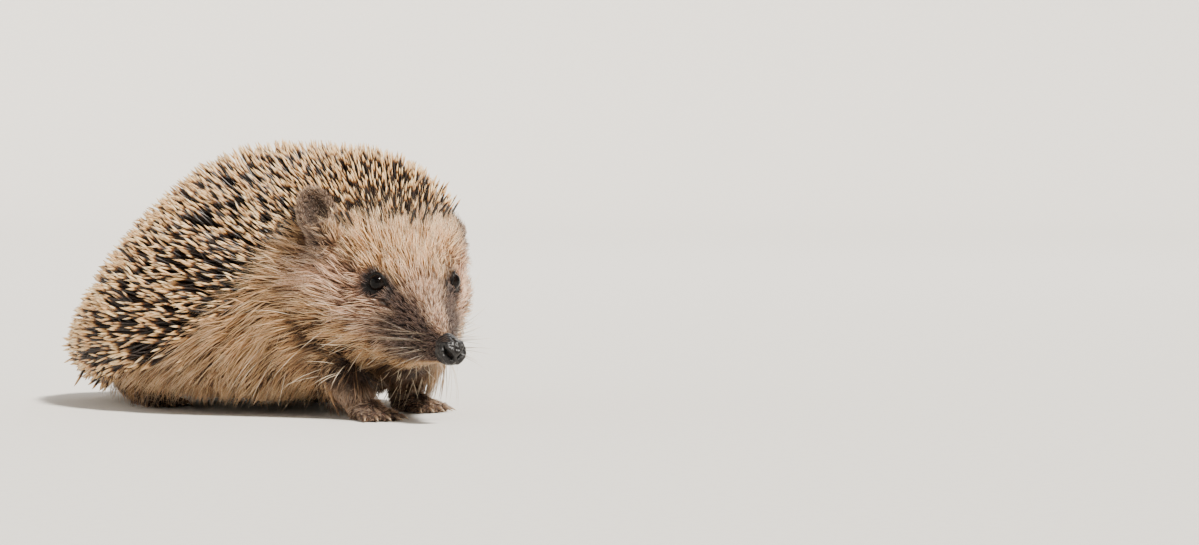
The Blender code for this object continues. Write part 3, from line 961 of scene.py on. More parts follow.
class Hide:
    """The skin as arrays, with the coat's depth and regions known at each vertex."""

    def __init__(self, mesh):
        mesh.calc_loop_triangles()
        self.corners = numbers(mesh.loop_triangles, "vertices", 3, np.int32)
        self.outline = Outline()
        points = positions(mesh)
        spots, outside = self.outline.nearest(points)
        back, side, up = to_body(spots)
        ear, rim, before = ear_shares(points)
        limb = limb_share(points)
        self.at = Roots(
            point=points, normal=normals_of(mesh), room=np.maximum(-outside / MM, 0.2),
            lid=numbers(mesh.attributes["lid"].data, "value"), back=back, side=side, up=up,
            before_ear=before, edge=mix(past_edge(back, side, up), -4.0, before), ear=ear, limb=limb,
            ash=np.maximum(ear, limb), rim=rim, mouth=off_mouth(*to_body(points)), height=points[:, 2] / MM,
        )
        one, two, three = (points[self.corners[:, k]] for k in range(3))
        self.areas = np.linalg.norm(np.cross(two - one, three - one), axis=1) / 2

    def area_of(self, weights):
        """Each triangle's area, counted by its share of the weights per vertex."""
        return self.areas * weights[self.corners].mean(1)

    def scatter(self, count, weights, seed):
        """So many roots, spread over the skin in proportion to a weight per vertex."""
        rng = np.random.default_rng(seed)
        share = self.area_of(weights)
        corners = self.corners[rng.choice(len(share), size=count, p=share / share.sum())]
        weight = -np.log(rng.random((count, 3)))
        weight /= weight.sum(1, keepdims=True)
        found = {}
        for name, values in vars(self.at).items():
            extra = (1,) * (values.ndim - 1)
            found[name] = (values[corners] * weight.reshape(count, 3, *extra)).sum(1)
        found["normal"] = unit(found["normal"])
        return Roots(chance=rng.random(count), **found)


@functools.lru_cache(maxsize=1)
def hide():
    return Hide(bpy.data.objects["skin"].data)


def thin_out(roots, distance):
    """Drops roots that stand closer than so many metres to one kept before."""
    kept, cells = [], {}
    for index, point in enumerate(roots.point.tolist()):
        x, y, z = (int(c // distance) for c in point)
        crowd = (
            other
            for i in (x - 1, x, x + 1) for j in (y - 1, y, y + 1) for k in (z - 1, z, z + 1)
            for other in cells.get((i, j, k), ())
        )
        if all(math.dist(point, other) > distance for other in crowd):
            cells.setdefault((x, y, z), []).append(point)
            kept.append(index)
    return roots.pick(np.array(kept))


def keep_in_box(lines, bases):
    """Shortens the strands that would leave the box of the solids."""
    low, high = np.array(CAD_BOX[0]), np.array(CAD_BOX[1])
    offset = lines - bases[:, None, :]
    room = np.where(offset > 0, high - bases[:, None, :], low - bases[:, None, :])
    with np.errstate(divide="ignore", invalid="ignore"):
        share = np.where(np.abs(offset) > 1e-7, room / offset, 1.0)
    share = np.clip(share.min(axis=(1, 2)), 0.2, 1.0)
    return bases[:, None, :] + offset * share[:, None, None]


PATCH = 0.003  # the size of a strand's patch on the baking map


def lattice(points):
    """A cell of a square lattice for each point, in the order of the skin's unwrap about its length."""
    back, side, up = to_body(points)
    round_body = np.arctan2(side, up - 34.0)
    count = len(points)
    across = math.ceil(math.sqrt(count))
    column, row = np.empty((2, count), int)
    column[np.argsort(back, kind="stable")] = np.arange(count) // across
    row[np.lexsort((round_body, column))] = np.arange(count) % across
    return np.stack([column + 0.5, row + 0.5], 1) / across


def strand_faces(rings, sides):
    """The faces of one strand as vertex numbers, and each corner's place on its patch."""
    faces, places = [], []
    for ring in range(rings):
        at, above = ring * sides, (ring + 1) * sides
        low, high = ring / rings, (ring + 1) / rings
        for k in range(sides):
            after = (k + 1) % sides
            left, right = k / sides, (k + 1) / sides
            if ring < rings - 1:
                faces.append((at + k, at + after, above + after, above + k))
                places.append(((left, low), (right, low), (right, high), (left, high)))
            else:
                faces.append((at + k, at + after, above))
                places.append(((left, low), (right, low), ((k + 0.5) / sides, high)))
    faces.append(tuple(reversed(range(sides))))
    angles = [math.tau * k / sides for k in reversed(range(sides))]
    places.append(tuple((0.5 + 0.4 * math.cos(a), -0.25 + 0.2 * math.sin(a)) for a in angles))
    return faces, places


def strand_piece(name, roots, lines, radii, upward, sides, full_length=None):
    """A mesh of closed tapering strands.

    lines holds (strands, rings + 1, 3) points, the last of them the tip; radii holds the rings'
    radii in millimetres; upward is a direction across each strand. Where a full length is given,
    a strand's numbers run to 1 at the tip as if its root stood that far under it.
    """
    count, rings = lines.shape[0], lines.shape[1] - 1
    ahead = unit(np.gradient(lines, axis=1))[:, :rings, None, :]
    aside = unit(np.cross(ahead, upward[:, None, None, :]))
    angles = (math.tau * np.arange(sides) / sides)[:, None]
    spoke = np.cos(angles) * aside + np.sin(angles) * np.cross(aside, ahead)
    hoops = lines[:, :rings, None, :] + spoke * (radii * MM)[:, :, None, None]
    per_strand = rings * sides + 1
    points = np.concatenate([hoops.reshape(count, rings * sides, 3), lines[:, -1:, :]], 1)

    faces, places = strand_faces(rings, sides)
    totals = np.tile([len(face) for face in faces], count)
    loops = (np.concatenate(faces)[None, :] + per_strand * np.arange(count)[:, None]).ravel()
    mesh = bpy.data.meshes.new(name)
    mesh.vertices.add(count * per_strand)
    mesh.vertices.foreach_set("co", points.astype(np.float32).ravel())
    mesh.loops.add(len(loops))
    mesh.loops.foreach_set("vertex_index", loops.astype(np.int32))
    mesh.polygons.add(len(totals))
    mesh.polygons.foreach_set("loop_start", (np.cumsum(totals) - totals).astype(np.int32))
    mesh.update(calc_edges=True)
    spots = lattice(roots.point)[:, None, :] + (np.concatenate(places) - 0.5) * PATCH
    mesh.uv_layers.new(name="OFBake").data.foreach_set("uv", spots.astype(np.float32).ravel())

    from_root = np.cumsum(np.linalg.norm(np.diff(lines, axis=1), axis=2), axis=1)
    from_root = np.concatenate([np.zeros((count, 1)), from_root], 1)
    whole = from_root[:, -1:]
    along = 1 - (whole - from_root) / (whole if full_length is None else full_length * MM)
    along = np.concatenate([np.repeat(along[:, :rings], sides, axis=1), along[:, -1:]], 1)
    add_number(mesh, "along", np.clip(along, 0, 1).ravel())
    shares = markings(roots.back, roots.side, roots.up)
    for key, values in {"chance": roots.chance, **shares, "ash": roots.ash}.items():
        add_number(mesh, key, np.repeat(values, per_strand))
    return add_object(name, mesh)


# ---- spines ---------------------------------------------------------------------------------

SPINE_RINGS = np.array((0.0, 0.12, 0.50, 0.76, 0.90, 1.0))  # shares of a spine's length
SPINE_SWELL = np.array((0.60, 0.85, 1.0, 0.96, 0.72))  # and its thickness there
SPINE_SIDES = 6
SPINE_FULL = 18.0  # a grown spine's length
SPINE_SUNK = 0.5  # how deep its root starts in the skin
SPINE_LONGEST = 19.5
OUTLINE_WITHIN = 20.5  # how far along a spine the outline is looked for
SPINE_RISE = ((4, -0.40), (14, -0.32), (28, -0.12), (45, 0.04), (60, 0.12), (72, 0.0))
CROWN_SPINES_END = 62.0


def spine_axes(roots, rng):
    """The way each spine points: fanned upright on the crown, back and ever flatter on the flanks."""
    count = len(roots)
    back, left = compass(roots.point)
    flow = back.copy()
    flow[:, 2] += steps(roots.up, SPINE_RISE)
    flow = along_surface(flow, roots.normal)
    flow = turned_about(flow, roots.normal, 0.22 * waves(roots.point, 12.0, 5) + rng.normal(0, 0.30, count))
    stand = np.radians(steps(roots.normal[:, 2], SPINE_STAND)) + rng.normal(0, 0.13, count)
    stand = np.clip(stand + 0.08 * waves(roots.point, 9.0, 6), 0.3, 1.5)
    lying = flow * np.cos(stand)[:, None] + roots.normal * np.sin(stand)[:, None]
    upright = 0.30 * roots.normal + left * (roots.side / 34.0)[:, None] + 0.26 * back
    upright[:, 2] += 1.0
    upright = unit(upright + rng.normal(0, 0.17, (count, 3)))
    crown = fall(roots.back, 40, 66) * ease(roots.normal[:, 2], 0.0, 0.45)
    axis = unit(mix(lying, upright, crown[:, None]))
    return axis, along_surface(roots.normal, axis)


def grow_spines(name, look, weights, share, spacing, seed):
    """One piece of the spines, crossing each other a little as they do on the living animal."""
    skin = hide()
    wanted = look.spine_count * share
    roots = thin_out(skin.scatter(int(wanted * 4), weights, seed), look.spine_spacing * spacing)
    roots = roots.pick(slice(0, int(wanted)))
    rng = np.random.default_rng(seed + 1)
    count = len(roots)
    axis, across = spine_axes(roots, rng)
    base = roots.point - roots.normal * SPINE_SUNK * MM
    length = skin.outline.way_out(base, axis, OUTLINE_WITHIN * MM) * rng.uniform(0.88, 1.03, count)
    shortest = mix(4.5, 10.5, fall(roots.back, 44, 60) * ease(roots.normal[:, 2], 0.1, 0.5))
    shortest = mix(shortest, 12.0, ease(roots.back, 100, 135) * fall(roots.up, 12, 26))
    length = np.clip(length, shortest * MM * rng.uniform(0.85, 1.1, count), SPINE_LONGEST * MM)
    bow = rng.normal(-0.02, 0.014, count) * length
    reach = (SPINE_RINGS * length[:, None])[:, :, None]
    bent = (bow[:, None] * (4 * SPINE_RINGS * (1 - SPINE_RINGS)))[:, :, None]
    lines = keep_in_box(base[:, None, :] + axis[:, None, :] * reach + across[:, None, :] * bent, base)
    clear = np.ones(count, bool)
    for spots in np.moveaxis(np.concatenate([lines, (lines[:, 1:] + lines[:, :-1]) / 2], 1), 1, 0):
        for _, size in ear_local(spots, (0.9, 0.9, 0.9)):
            clear &= size > 1.0
    roots, lines, length, across = roots.pick(clear), lines[clear], length[clear], across[clear]
    coarse = ease(roots.back, 44, 80)
    thick = look.spine_thickness / MM / 2 * rng.uniform(0.84, 1.12, len(roots)) * mix(0.72, 1.0, coarse)
    thick *= mix(0.78, 1.0, ease(length / MM, 5, 11))
    full = SPINE_FULL * mix(0.78, 1.0, coarse)[:, None]
    return strand_piece(name, roots, lines, thick[:, None] * SPINE_SWELL, across, SPINE_SIDES, full)


def spine_regions():
    """The spines' pieces: name, weight per vertex, share of the spines and of the spacing."""
    at = hide().at
    spiny = ease(at.edge, -1.5, 2.5) * fall(at.ear, 0.1, 0.5) * (1 - at.limb)
    tail = (at.back > 148) & (np.abs(at.side) < 6) & (at.up < 13)
    spiny = spiny * ~tail * mix(1.0, 1.7, ease(at.normal[:, 1], 0.4, 0.9))
    crown = at.back < CROWN_SPINES_END
    right = at.side < 0
    return (
        ("spines_crown", spiny * crown, 0.44, 0.78),
        ("spines_right", spiny * ~crown * right, 0.31, 0.95),
        ("spines_left", spiny * ~crown * ~right, 0.31, 0.95),
    )


# ---- fur ------------------------------------------------------------------------------------

# How far the hair's way along the flank rises, by height: it sweeps up over the shoulder and
# hangs towards the floor.
FLANK_RISE = ((4, -2.2), (12, -1.3), (22, -0.66), (32, -0.30), (42, 0.0), (52, 0.32), (64, 0.6))
LIMB_LENGTH = ((0, 0.9), (4, 2.0), (10, 5.0))
HAIR_SUNK = 0.15  # how deep a hair's root starts in the skin, and how low it may hang
HAIR_SWELL = {2: (0.9, 0.85), 3: (0.85, 1.0, 0.72), 4: (0.8, 1.0, 0.92, 0.62)}
MUZZLE_ENDS, FACE_ENDS = 19.0, 46.0


def hair_flow(roots):
    """The way the hair lies: away from the nose on the face, round the eyes, and back on the body."""
    back, left = compass(roots.point)
    body = back + 0.15 * (left * np.sign(roots.side)[:, None])
    body[:, 2] += steps(roots.up, FLANK_RISE)
    face = unit(roots.point - np.array(place(-2.0, 0.0, 20.0)))
    face[:, 2] -= 0.35 * fall(roots.up, 18, 32) * ease(roots.back, 10, 26)
    face[:, 2] += 0.45 * ease(roots.up, 44, 56)
    flow = mix(unit(face), unit(body), ease(roots.back, 30, 50)[:, None])
    for _, middle, _ in eye_frames():
        ray = roots.point - np.array(middle)
        near = fall(np.linalg.norm(ray, axis=1) / MM, 3.5, 8.5)
        behind = mix(0.12, 0.6, ease(roots.back, EYE_BACK - 2.5, EYE_BACK + 2.0))
        flow = mix(flow, unit(ray), (behind * near)[:, None])
    for middle, stand in ear_frames():
        ray = unit(roots.point - np.array(stand @ Vector((0, 0, -11.0 * MM))))
        this_ear = ease(roots.ear, 0.3, 0.7) * (np.sign(roots.side) == np.sign(middle[1]))
        flow = mix(flow, ray, 0.85 * this_ear[:, None])
    down = 0.35 * back
    down[:, 2] -= 1.0
    return along_surface(mix(flow, down, roots.limb[:, None]), roots.normal)


def hair_length(roots):
    """How long the outer hair is."""
    back, side, up = roots.back, roots.side, roots.up
    length = steps(back, FUR_LENGTH)
    under = np.minimum(length, mix(5.0, 8.0, ease(back, 36, 50)))
    length = mix(length, under, ease(-roots.normal[:, 2], 0.4, 0.9))
    length = mix(length, 6.5, ease(roots.edge, -7.0, -1.0) * fall(back, 36, 46))
    inner = mix(8.5, 4.6, fall(np.abs(side), 8, 11))
    length *= mix(0.20, 1.0, ease(off_eye(back, side, up), 2.6, inner))
    length = mix(length, np.minimum(length, 0.9), fall(roots.mouth, 0.6, 2.2))
    chin = fall(up, 15, 17.5) * ease(back, 6, 10) * fall(back, 20, 30)
    length = mix(length, np.maximum(length, 2.8), chin)
    fold = mix(0.45, 1.0, ease(off_ear_fold(back, side, up), 2.5, 6.5))
    before_ear = mix(1.0, mix(0.45, 1.1, ease(up, 52, 57)), roots.before_ear)
    length *= np.minimum(fold, before_ear)
    length = mix(length, mix(1.1, 2.2, roots.rim), roots.ear)
    return mix(length, steps(roots.height, LIMB_LENGTH), roots.limb)


def lock_of(roots, every, rng):
    """For each hair, the hair that leads its lock."""
    leaders = rng.choice(len(roots), size=max(len(roots) // every, 1), replace=False)
    tree = KDTree(len(leaders))
    for index, point in zip(leaders.tolist(), roots.point[leaders].tolist()):
        tree.insert(point, index)
    tree.balance()
    return np.array([tree.find(point)[1] for point in roots.point.tolist()])


def fit_to_outline(lines, tolerance):
    """Presses the strands whose tips stand too far outside the outline back to it."""
    spots, outside = hide().outline.nearest(lines[:, -1])
    over = np.maximum(outside - tolerance, 0)
    push = (spots - lines[:, -1]) * (over / np.maximum(np.abs(outside), 1e-9))[:, None]
    share = np.linspace(0, 1, lines.shape[1]) ** 1.5
    return lines + push[:, None, :] * share[:, None]


def grow_hair(
    name, weights, count, seed, *, rings, every, pull, turn, untidy, longer, steeper, loose, thick,
):
    """One piece of the fur, made as its layer says.

    A layer gives the rings of a strand, the hairs in a lock, how far they draw together, how much
    the locks turn from the way they should lie and how untidy the single hairs are, their share
    of the full length and rise, how far they may stand out of the outline, and their thickness.
    """
    roots = hide().scatter(count, weights, seed)
    rng = np.random.default_rng(seed + 1)
    lead = lock_of(roots, every, rng)
    aside = 0.12 * waves(roots.point, 8.0, 11) + rng.normal(0, untidy, count)
    aside += rng.normal(0, turn, count)[lead]
    aside = np.where(rng.random(count) < 0.05, aside * 2.6, aside)
    flow = turned_about(hair_flow(roots), roots.normal, aside)
    length = hair_length(roots) * longer
    length *= np.clip(rng.normal(1.0, 0.14, count), 0.6, 1.4) * rng.uniform(0.86, 1.1, count)[lead]
    depth = fur_depth(roots.back, roots.side, roots.up, roots.normal[:, 2])
    depth = np.minimum(roots.room, mix(1.25 * depth, 1.3, np.maximum(roots.ear, roots.limb)))
    depth = np.maximum(depth, mix(0.9, 0.6, fall(roots.back, 10, 20)))
    rise = depth * steeper * rng.uniform(0.70, 1.08, count) / length
    rise = np.clip(rise + 0.04 * waves(roots.point, 4.0, 12), 0.08, 0.80)[:, None]
    share = np.linspace(0, 1, rings + 1)
    lift = 1 - (1 - share) ** rng.uniform(1.2, 1.9, count)[:, None]
    low = fall(roots.height, 12, 28) * ease(roots.back, 26, 44)
    droop = (mix(0.10, 0.30, low) * ease(length, 6, 13))[:, None] * share**2
    base = roots.point - roots.normal * HAIR_SUNK * MM
    size = length[:, None] * MM
    run = (share * np.sqrt(1 - rise**2) * size)[:, :, None]
    lifted = (lift * rise * size)[:, :, None]
    lines = base[:, None, :] + flow[:, None, :] * run + roots.normal[:, None, :] * lifted
    lines[:, :, 2] -= droop * size
    sway = np.cross(flow, roots.normal) * (rng.normal(0, 0.07, count)[:, None] * size)
    lines += sway[:, None, :] * (share**2)[:, None]
    gather = pull * rng.uniform(0.3, 1.0, count)[:, None] * share**1.4
    lines += (lines[lead] - lines) * gather[:, :, None]
    skirt = fall(roots.height, 10, 24) * (1 - roots.limb) * ease(roots.back, 30, 46)
    lines = fit_to_outline(lines, np.maximum(mix(0.3, 5.0, skirt), loose) * MM)
    lines = keep_in_box(lines, base)
    lines[:, :, 2] = np.maximum(lines[:, :, 2], HAIR_SUNK * MM)
    chance = mix(roots.chance, roots.chance[lead], 0.5) + 0.09 * waves(roots.point, 3.5, 31)
    roots.chance = np.clip(chance, 0.02, 0.99) * mix(1.0, 0.18, roots.ear * (1 - roots.rim))
    radii = (thick / 2 * rng.uniform(0.75, 1.2, count))[:, None] * np.array(HAIR_SWELL[rings])
    return strand_piece(name, roots, lines, radii, roots.normal, 3)


GUARD = dict(rings=4, every=9, pull=0.55, turn=0.17, untidy=0.12, longer=1.0, steeper=1.0, loose=0.3)
FACE = dict(GUARD, rings=3, turn=0.16, untidy=0.11, longer=1.3)
SHORT = dict(GUARD, rings=2, every=5, pull=0.30, turn=0.12, untidy=0.14, loose=0.8)
STRAY = dict(GUARD, pull=0.1, untidy=0.45, longer=1.6, steeper=1.8, loose=6.0)
UNDER = dict(GUARD, rings=2, pull=0.45, turn=0.2, untidy=0.2, longer=0.55, steeper=0.55, loose=0.0)


def hair_regions():
    """The fur's pieces: name, weight per vertex, hairs a square millimetre, and their layer."""
    at = hide().at
    torso = fall(at.edge, 0.0, 5.0) * fall(at.ear, 0.0, 0.4) * (1 - at.limb)
    torso = torso * fall(at.lid, 0.92, 1.0) * ease(at.back, 4.2, 5.2)
    right = at.side < 0
    belly = ease(-at.normal[:, 2], 0.5, 0.8) * ease(at.back, 34, 50)
    face = (at.back >= MUZZLE_ENDS) & (at.back < FACE_ENDS)
    brow = face & (at.back < 40) & (at.up > 42)
    cheek = torso * ((face & ~brow) * (1 - belly))
    flank = torso * ((at.back >= FACE_ENDS) * (1 - belly))
    mantle = ease(at.edge, -9, -4) * fall(at.edge, 0, 3) * (1 - at.ear) * (1 - belly)
    mantle = mantle * ease(at.back, 42, 48) * fall(at.back, 90, 110)
    stray = torso * ease(at.back, 22, 30) * fall(at.back, 50, 60) * fall(at.up, 20, 30)
    return (
        ("underfur_head", torso * face, 3.0, dict(UNDER, thick=0.26)),
        ("underfur_right", flank * right, 2.4, dict(UNDER, thick=0.34)),
        ("underfur_left", flank * ~right, 2.2, dict(UNDER, thick=0.34)),
        ("underfur_belly", torso * belly, 1.4, dict(UNDER, thick=0.34)),
        ("fur_muzzle", torso * (at.back < MUZZLE_ENDS), 9.0, dict(SHORT, thick=0.15)),
        ("fur_brow", torso * brow, 4.0, dict(FACE, thick=0.19)),
        ("fur_cheek_right", cheek * right, 2.6, dict(FACE, thick=0.20)),
        ("fur_cheek_left", cheek * ~right, 2.4, dict(FACE, thick=0.21)),
        ("fur_flank_right", flank * right, 1.7, dict(GUARD, thick=0.25)),
        ("fur_flank_left", flank * ~right, 1.6, dict(GUARD, thick=0.25)),
        ("fur_mantle", mantle, 0.9, dict(GUARD, thick=0.23, longer=1.35, pull=0.2)),
        ("fur_stray", stray, 0.06, dict(STRAY, thick=0.15)),
        ("fur_belly", torso * belly, 1.2, dict(GUARD, thick=0.27)),
        ("fur_legs", at.limb * (1 - at.ear), 5.2, dict(SHORT, thick=0.19)),
        ("fur_ears", ease(at.ear, 0.1, 0.6), 10.0, dict(SHORT, thick=0.12, untidy=0.4, loose=3.5)),
    )


# ---- eyes, nose, claws and whiskers ---------------------------------------------------------


def make_eye(node, middle, look):
    """An eyeball with a bulging cornea."""
    bm = bmesh.new()
    bmesh.ops.create_uvsphere(bm, u_segments=64, v_segments=48, radius=EYE_RADIUS * MM)
    for vert in bm.verts:
        angle = math.degrees(vert.co.angle(Vector((0, 0, 1))))
        vert.co *= 1 + 0.045 * float(fall(angle, 20, 58))
    upright = look.to_track_quat("Z", "Y").to_matrix().to_4x4()
    bmesh.ops.transform(bm, matrix=Matrix.Translation(middle) @ upright, verts=bm.verts)
    eye = object_from(node.replace("eye", "eyeball"), bm)
    rays = unit(positions(eye.data) - np.array(middle))
    add_number(eye.data, "from_pupil", np.arccos(np.clip(rays @ np.array(look), -1, 1)) / math.radians(90))
    return eye


def make_nose():
    """The nose pad: a round wet knob with comma-shaped nostrils, raised wings and a groove between."""
    knob = Matrix.Translation(place(3.6, 0.0, 19.4)) @ Matrix.Rotation(-HEAD_TURN, 4, "Z")
    fill = ball_object("fill", (3.55, 3.3, 3.6), knob)
    pad = joined("nose_pad", [*solids("nose"), fill])
    remove(fill)
    melt(pad, NOSE_GRAIN, 10)
    mesh = pad.data
    points, normals = positions(mesh), normals_of(mesh)
    back, side, up = to_body(points)
    away, share = off_line(np.stack([back, np.abs(side), up], 1), NOSTRIL)
    width = mix(0.95, 0.42, ease(share, 0.15, 0.8))
    opening = (away / width) ** 2
    pit = -mix(2.0, 0.8, share) * np.exp(-opening * 1.6)
    wing = 0.42 * hump(away - width - 0.75, 0.55) * ease(back, -1, 2)
    groove = -0.30 * hump(side, 0.35) * fall(back, 2.5, 4.0)
    lumps = 0.06 * waves(points, 0.7, 21)
    set_positions(mesh, points + normals * ((pit + wing + groove + lumps) * MM)[:, None])
    # The nostrils' share, which the nose's material paints near black as the shade inside them.
    add_number(mesh, "pit", np.exp(-opening * 1.2))
    return pad


def curved_spikes(name, spikes, radius, rings, sides):
    """Separate tapering spikes, each told by its start, its heading, its sag and its length."""
    starts, headings, sags, lengths = (np.array(values, float) for values in zip(*spikes))
    count, lengths = len(starts), lengths[:, None, None]
    share = np.linspace(0, 1, rings + 1)
    ahead = headings[:, None, :] * share[:, None] * lengths
    lines = starts[:, None, :] + ahead + sags[:, None, :] * (share**2)[:, None] * lengths
    lines = keep_in_box(lines, starts)
    radii = np.tile(radius * (1 - 0.9 * share[:-1] ** 1.3), (count, 1))
    back, side, up = to_body(starts)
    chance = np.random.default_rng(3).random(count)
    roots = Roots(point=starts, back=back, side=side, up=up, chance=chance, ash=np.zeros(count))
    upward = unit(np.cross(headings, np.cross(np.tile((0.0, 0.0, 1.0), (count, 1)), headings)))
    return strand_piece(name, roots, lines, radii, upward, sides)


def make_claws():
    """Twenty claws, curved down to the floor."""
    spikes = []
    for _, tip, ahead, claw in toe_lines():
        start = tip + Vector((0, 0, 0.35 * MM)) - ahead * 0.4 * MM
        reach = claw * 0.98
        sag = Vector((0, 0, -(start.z - 0.35 * MM) / reach - 0.12))
        spikes.append((start, (ahead + Vector((0, 0, 0.12))).normalized(), sag, reach))
    return curved_spikes("claws", spikes, 0.62, 8, 8)


def make_whiskers():
    """Four rows of whiskers on each side of the muzzle."""
    rng = np.random.default_rng(17)
    at = hide().at
    body = np.stack([at.back, at.side, at.up], 1)
    spikes = []
    for outward, row, k in itertools.product((-1, 1), range(4), range(6)):
        spot = (8.0 + 1.7 * k + rng.normal(0, 0.3), outward * 6.0, 18.0 + 2.1 * row + rng.normal(0, 0.3))
        nearest = int(np.argmin(np.linalg.norm(body - np.array(spot), axis=1)))
        out = Vector((outward * 1.0, -0.35 + 0.16 * k, 0.16 * (row - 1.6)))
        out += Vector(rng.normal(0, 0.10, 3))
        sag = with_head((0, 0.22, -0.10 + 0.05 * row))
        length = rng.uniform(8, 17) * MM * (0.65 + 0.09 * k)
        spikes.append((at.point[nearest], with_head(out).normalized(), sag, length))
    return curved_spikes("whiskers", spikes, 0.075, 9, 4)


# ---- what a user can change -----------------------------------------------------------------


class HedgehogLook(bpy.types.PropertyGroup):
    """Sizes and colours of the coat."""

    spine_count: IntProperty(name="Spines", description="How many spines grow", default=6400, min=100)
    spine_spacing: FloatProperty(
        name="Spine spacing", description="Least distance between two spines' roots",
        default=1.15 * MM, unit="LENGTH",
    )
    spine_thickness: FloatProperty(
        name="Spine thickness", description="Width of a spine at its middle",
        default=0.82 * MM, unit="LENGTH",
    )
    hair_density: FloatProperty(
        name="Hair density", description="Share of the full number of hairs", default=1.0,
    )
    spine_tip: FloatVectorProperty(
        name="Spine tip", description="Colour of the pale end of a spine", size=4, subtype="COLOR",
        default=linear("EFCD9A"),
    )
    spine_band: FloatVectorProperty(
        name="Spine band", description="Colour of the dark band under the tip", size=4, subtype="COLOR",
        default=linear("22150D"),
    )
    floor: FloatVectorProperty(
        name="Floor", description="Colour of the paper floor", size=4, subtype="COLOR",
        default=linear("E4E1DC"),
    )


class HedgehogStage(bpy.types.PropertyGroup):
    """The camera and the lights."""

    azimuth: FloatProperty(
        name="Azimuth", description="Where the camera stands, turned from the animal's front",
        default=math.radians(-43.0), subtype="ANGLE",
    )
    elevation: FloatProperty(
        name="Elevation", description="How far the camera looks down",
        default=math.radians(2.0), subtype="ANGLE",
    )
    distance: FloatProperty(
        name="Distance", description="From the camera to its aim", default=1.25, unit="LENGTH",
    )
    lens: FloatProperty(name="Lens", description="Focal length", default=128.0, unit="CAMERA")
    aim: FloatVectorProperty(
        name="Aim", description="What the middle of the picture shows, from the middle of the floor",
        default=(0.1045, -0.0124, 0.0357), subtype="XYZ", unit="LENGTH",
    )
    key: FloatProperty(
        name="Key", description="Strength of the main light, in watts a square metre", default=8.0,
    )
    fill: FloatProperty(
        name="Fill", description="Power of the soft light on the near side", default=2.4, unit="POWER",
    )
    rim: FloatProperty(
        name="Rim", description="Power of the soft light from behind", default=3.0, unit="POWER",
    )
    sky: FloatProperty(name="Sky", description="Strength of the light from all round", default=0.34)


# ---- operators ------------------------------------------------------------------------------


class HEDGEHOG_OT_skin(bpy.types.Operator):
    """Makes the one skin that stands for all the flesh"""

    bl_idname = "hedgehog.skin"
    bl_label = "Skin"

    def execute(self, context):
        skin = make_skin()
        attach(skin, "root")
        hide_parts(*FLESH)
        hide.cache_clear()
        return {"FINISHED"}


class HEDGEHOG_OT_spines(bpy.types.Operator):
    """Grows the spines of the back and the crown"""

    bl_idname = "hedgehog.spines"
    bl_label = "Spines"

    def execute(self, context):
        look = context.scene.hedgehog_look
        horn = spine_material(look)
        for index, (name, weights, share, spacing) in enumerate(spine_regions()):
            piece = finish(grow_spines(name, look, weights, share, spacing, 100 + 10 * index), horn)
            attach(piece, "root")
        return {"FINISHED"}


class HEDGEHOG_OT_fur(bpy.types.Operator):
    """Grows the underfur and the guard hair of the face, flanks, belly, legs and ears"""

    bl_idname = "hedgehog.fur"
    bl_label = "Fur"

    def execute(self, context):
        guard, underfur, stray = guard_material(), underfur_material(), stray_material()
        for index, (name, weights, density, layer) in enumerate(hair_regions()):
            area = float(hide().area_of(weights).sum()) / MM**2
            count = int(area * density * context.scene.hedgehog_look.hair_density)
            hair = stray if name == "fur_stray" else underfur if name.startswith("underfur") else guard
            piece = finish(grow_hair(name, weights, count, 300 + 10 * index, **layer), hair)
            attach(piece, "root")
        return {"FINISHED"}


class HEDGEHOG_OT_eyes(bpy.types.Operator):
    """Makes both eyeballs"""

    bl_idname = "hedgehog.eyes"
    bl_label = "Eyes"

    def execute(self, context):
        cornea = eye_material()
        for node, middle, look in eye_frames():
            eye = finish(make_eye(node, middle, look), cornea)
            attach(eye, "root")
            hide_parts(node)
        return {"FINISHED"}


class HEDGEHOG_OT_nose(bpy.types.Operator):
    """Makes the wet nose pad with its nostrils"""

    bl_idname = "hedgehog.nose"
    bl_label = "Nose"

    def execute(self, context):
        pad = finish(make_nose(), nose_material())
        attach(pad, "root")
        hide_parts("nose")
        return {"FINISHED"}


class HEDGEHOG_OT_claws(bpy.types.Operator):
    """Makes the claws of all four feet"""

    bl_idname = "hedgehog.claws"
    bl_label = "Claws"

    def execute(self, context):
        claws = finish(make_claws(), claw_material())
        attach(claws, "root")
        return {"FINISHED"}


class HEDGEHOG_OT_whiskers(bpy.types.Operator):
    """Sets the whiskers"""

    bl_idname = "hedgehog.whiskers"
    bl_label = "Whiskers"

    def execute(self, context):
        whiskers = finish(make_whiskers(), whisker_material())
        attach(whiskers, "root")
        return {"FINISHED"}


FLOOR_FLAT, FLOOR_SWEEP, FLOOR_WALL = 2.4, 1.6, 1.2  # metres


def studio_floor():
    """A round sheet of paper that is flat under the animal and sweeps up all round, far away."""
    arc = [math.radians(7.5 * k) for k in range(1, 13)]
    profile = [(0.0, 0.0), (FLOOR_FLAT, 0.0)]
    profile += [(FLOOR_FLAT + FLOOR_SWEEP * math.sin(a), FLOOR_SWEEP * (1 - math.cos(a))) for a in arc]
    profile.append((FLOOR_FLAT + FLOOR_SWEEP, FLOOR_SWEEP + FLOOR_WALL))
    bm = bmesh.new()
    verts = [bm.verts.new((radius, 0.0, height)) for radius, height in profile]
    edges = [bm.edges.new(pair) for pair in zip(verts, verts[1:])]
    bmesh.ops.spin(
        bm, geom=verts + edges, cent=(0, 0, 0), axis=(0, 0, 1), angle=math.tau, steps=96, use_merge=True,
    )
    bmesh.ops.remove_doubles(bm, verts=bm.verts, dist=0.0001)
    bmesh.ops.recalc_face_normals(bm, faces=bm.faces)
    return object_from("floor", bm)


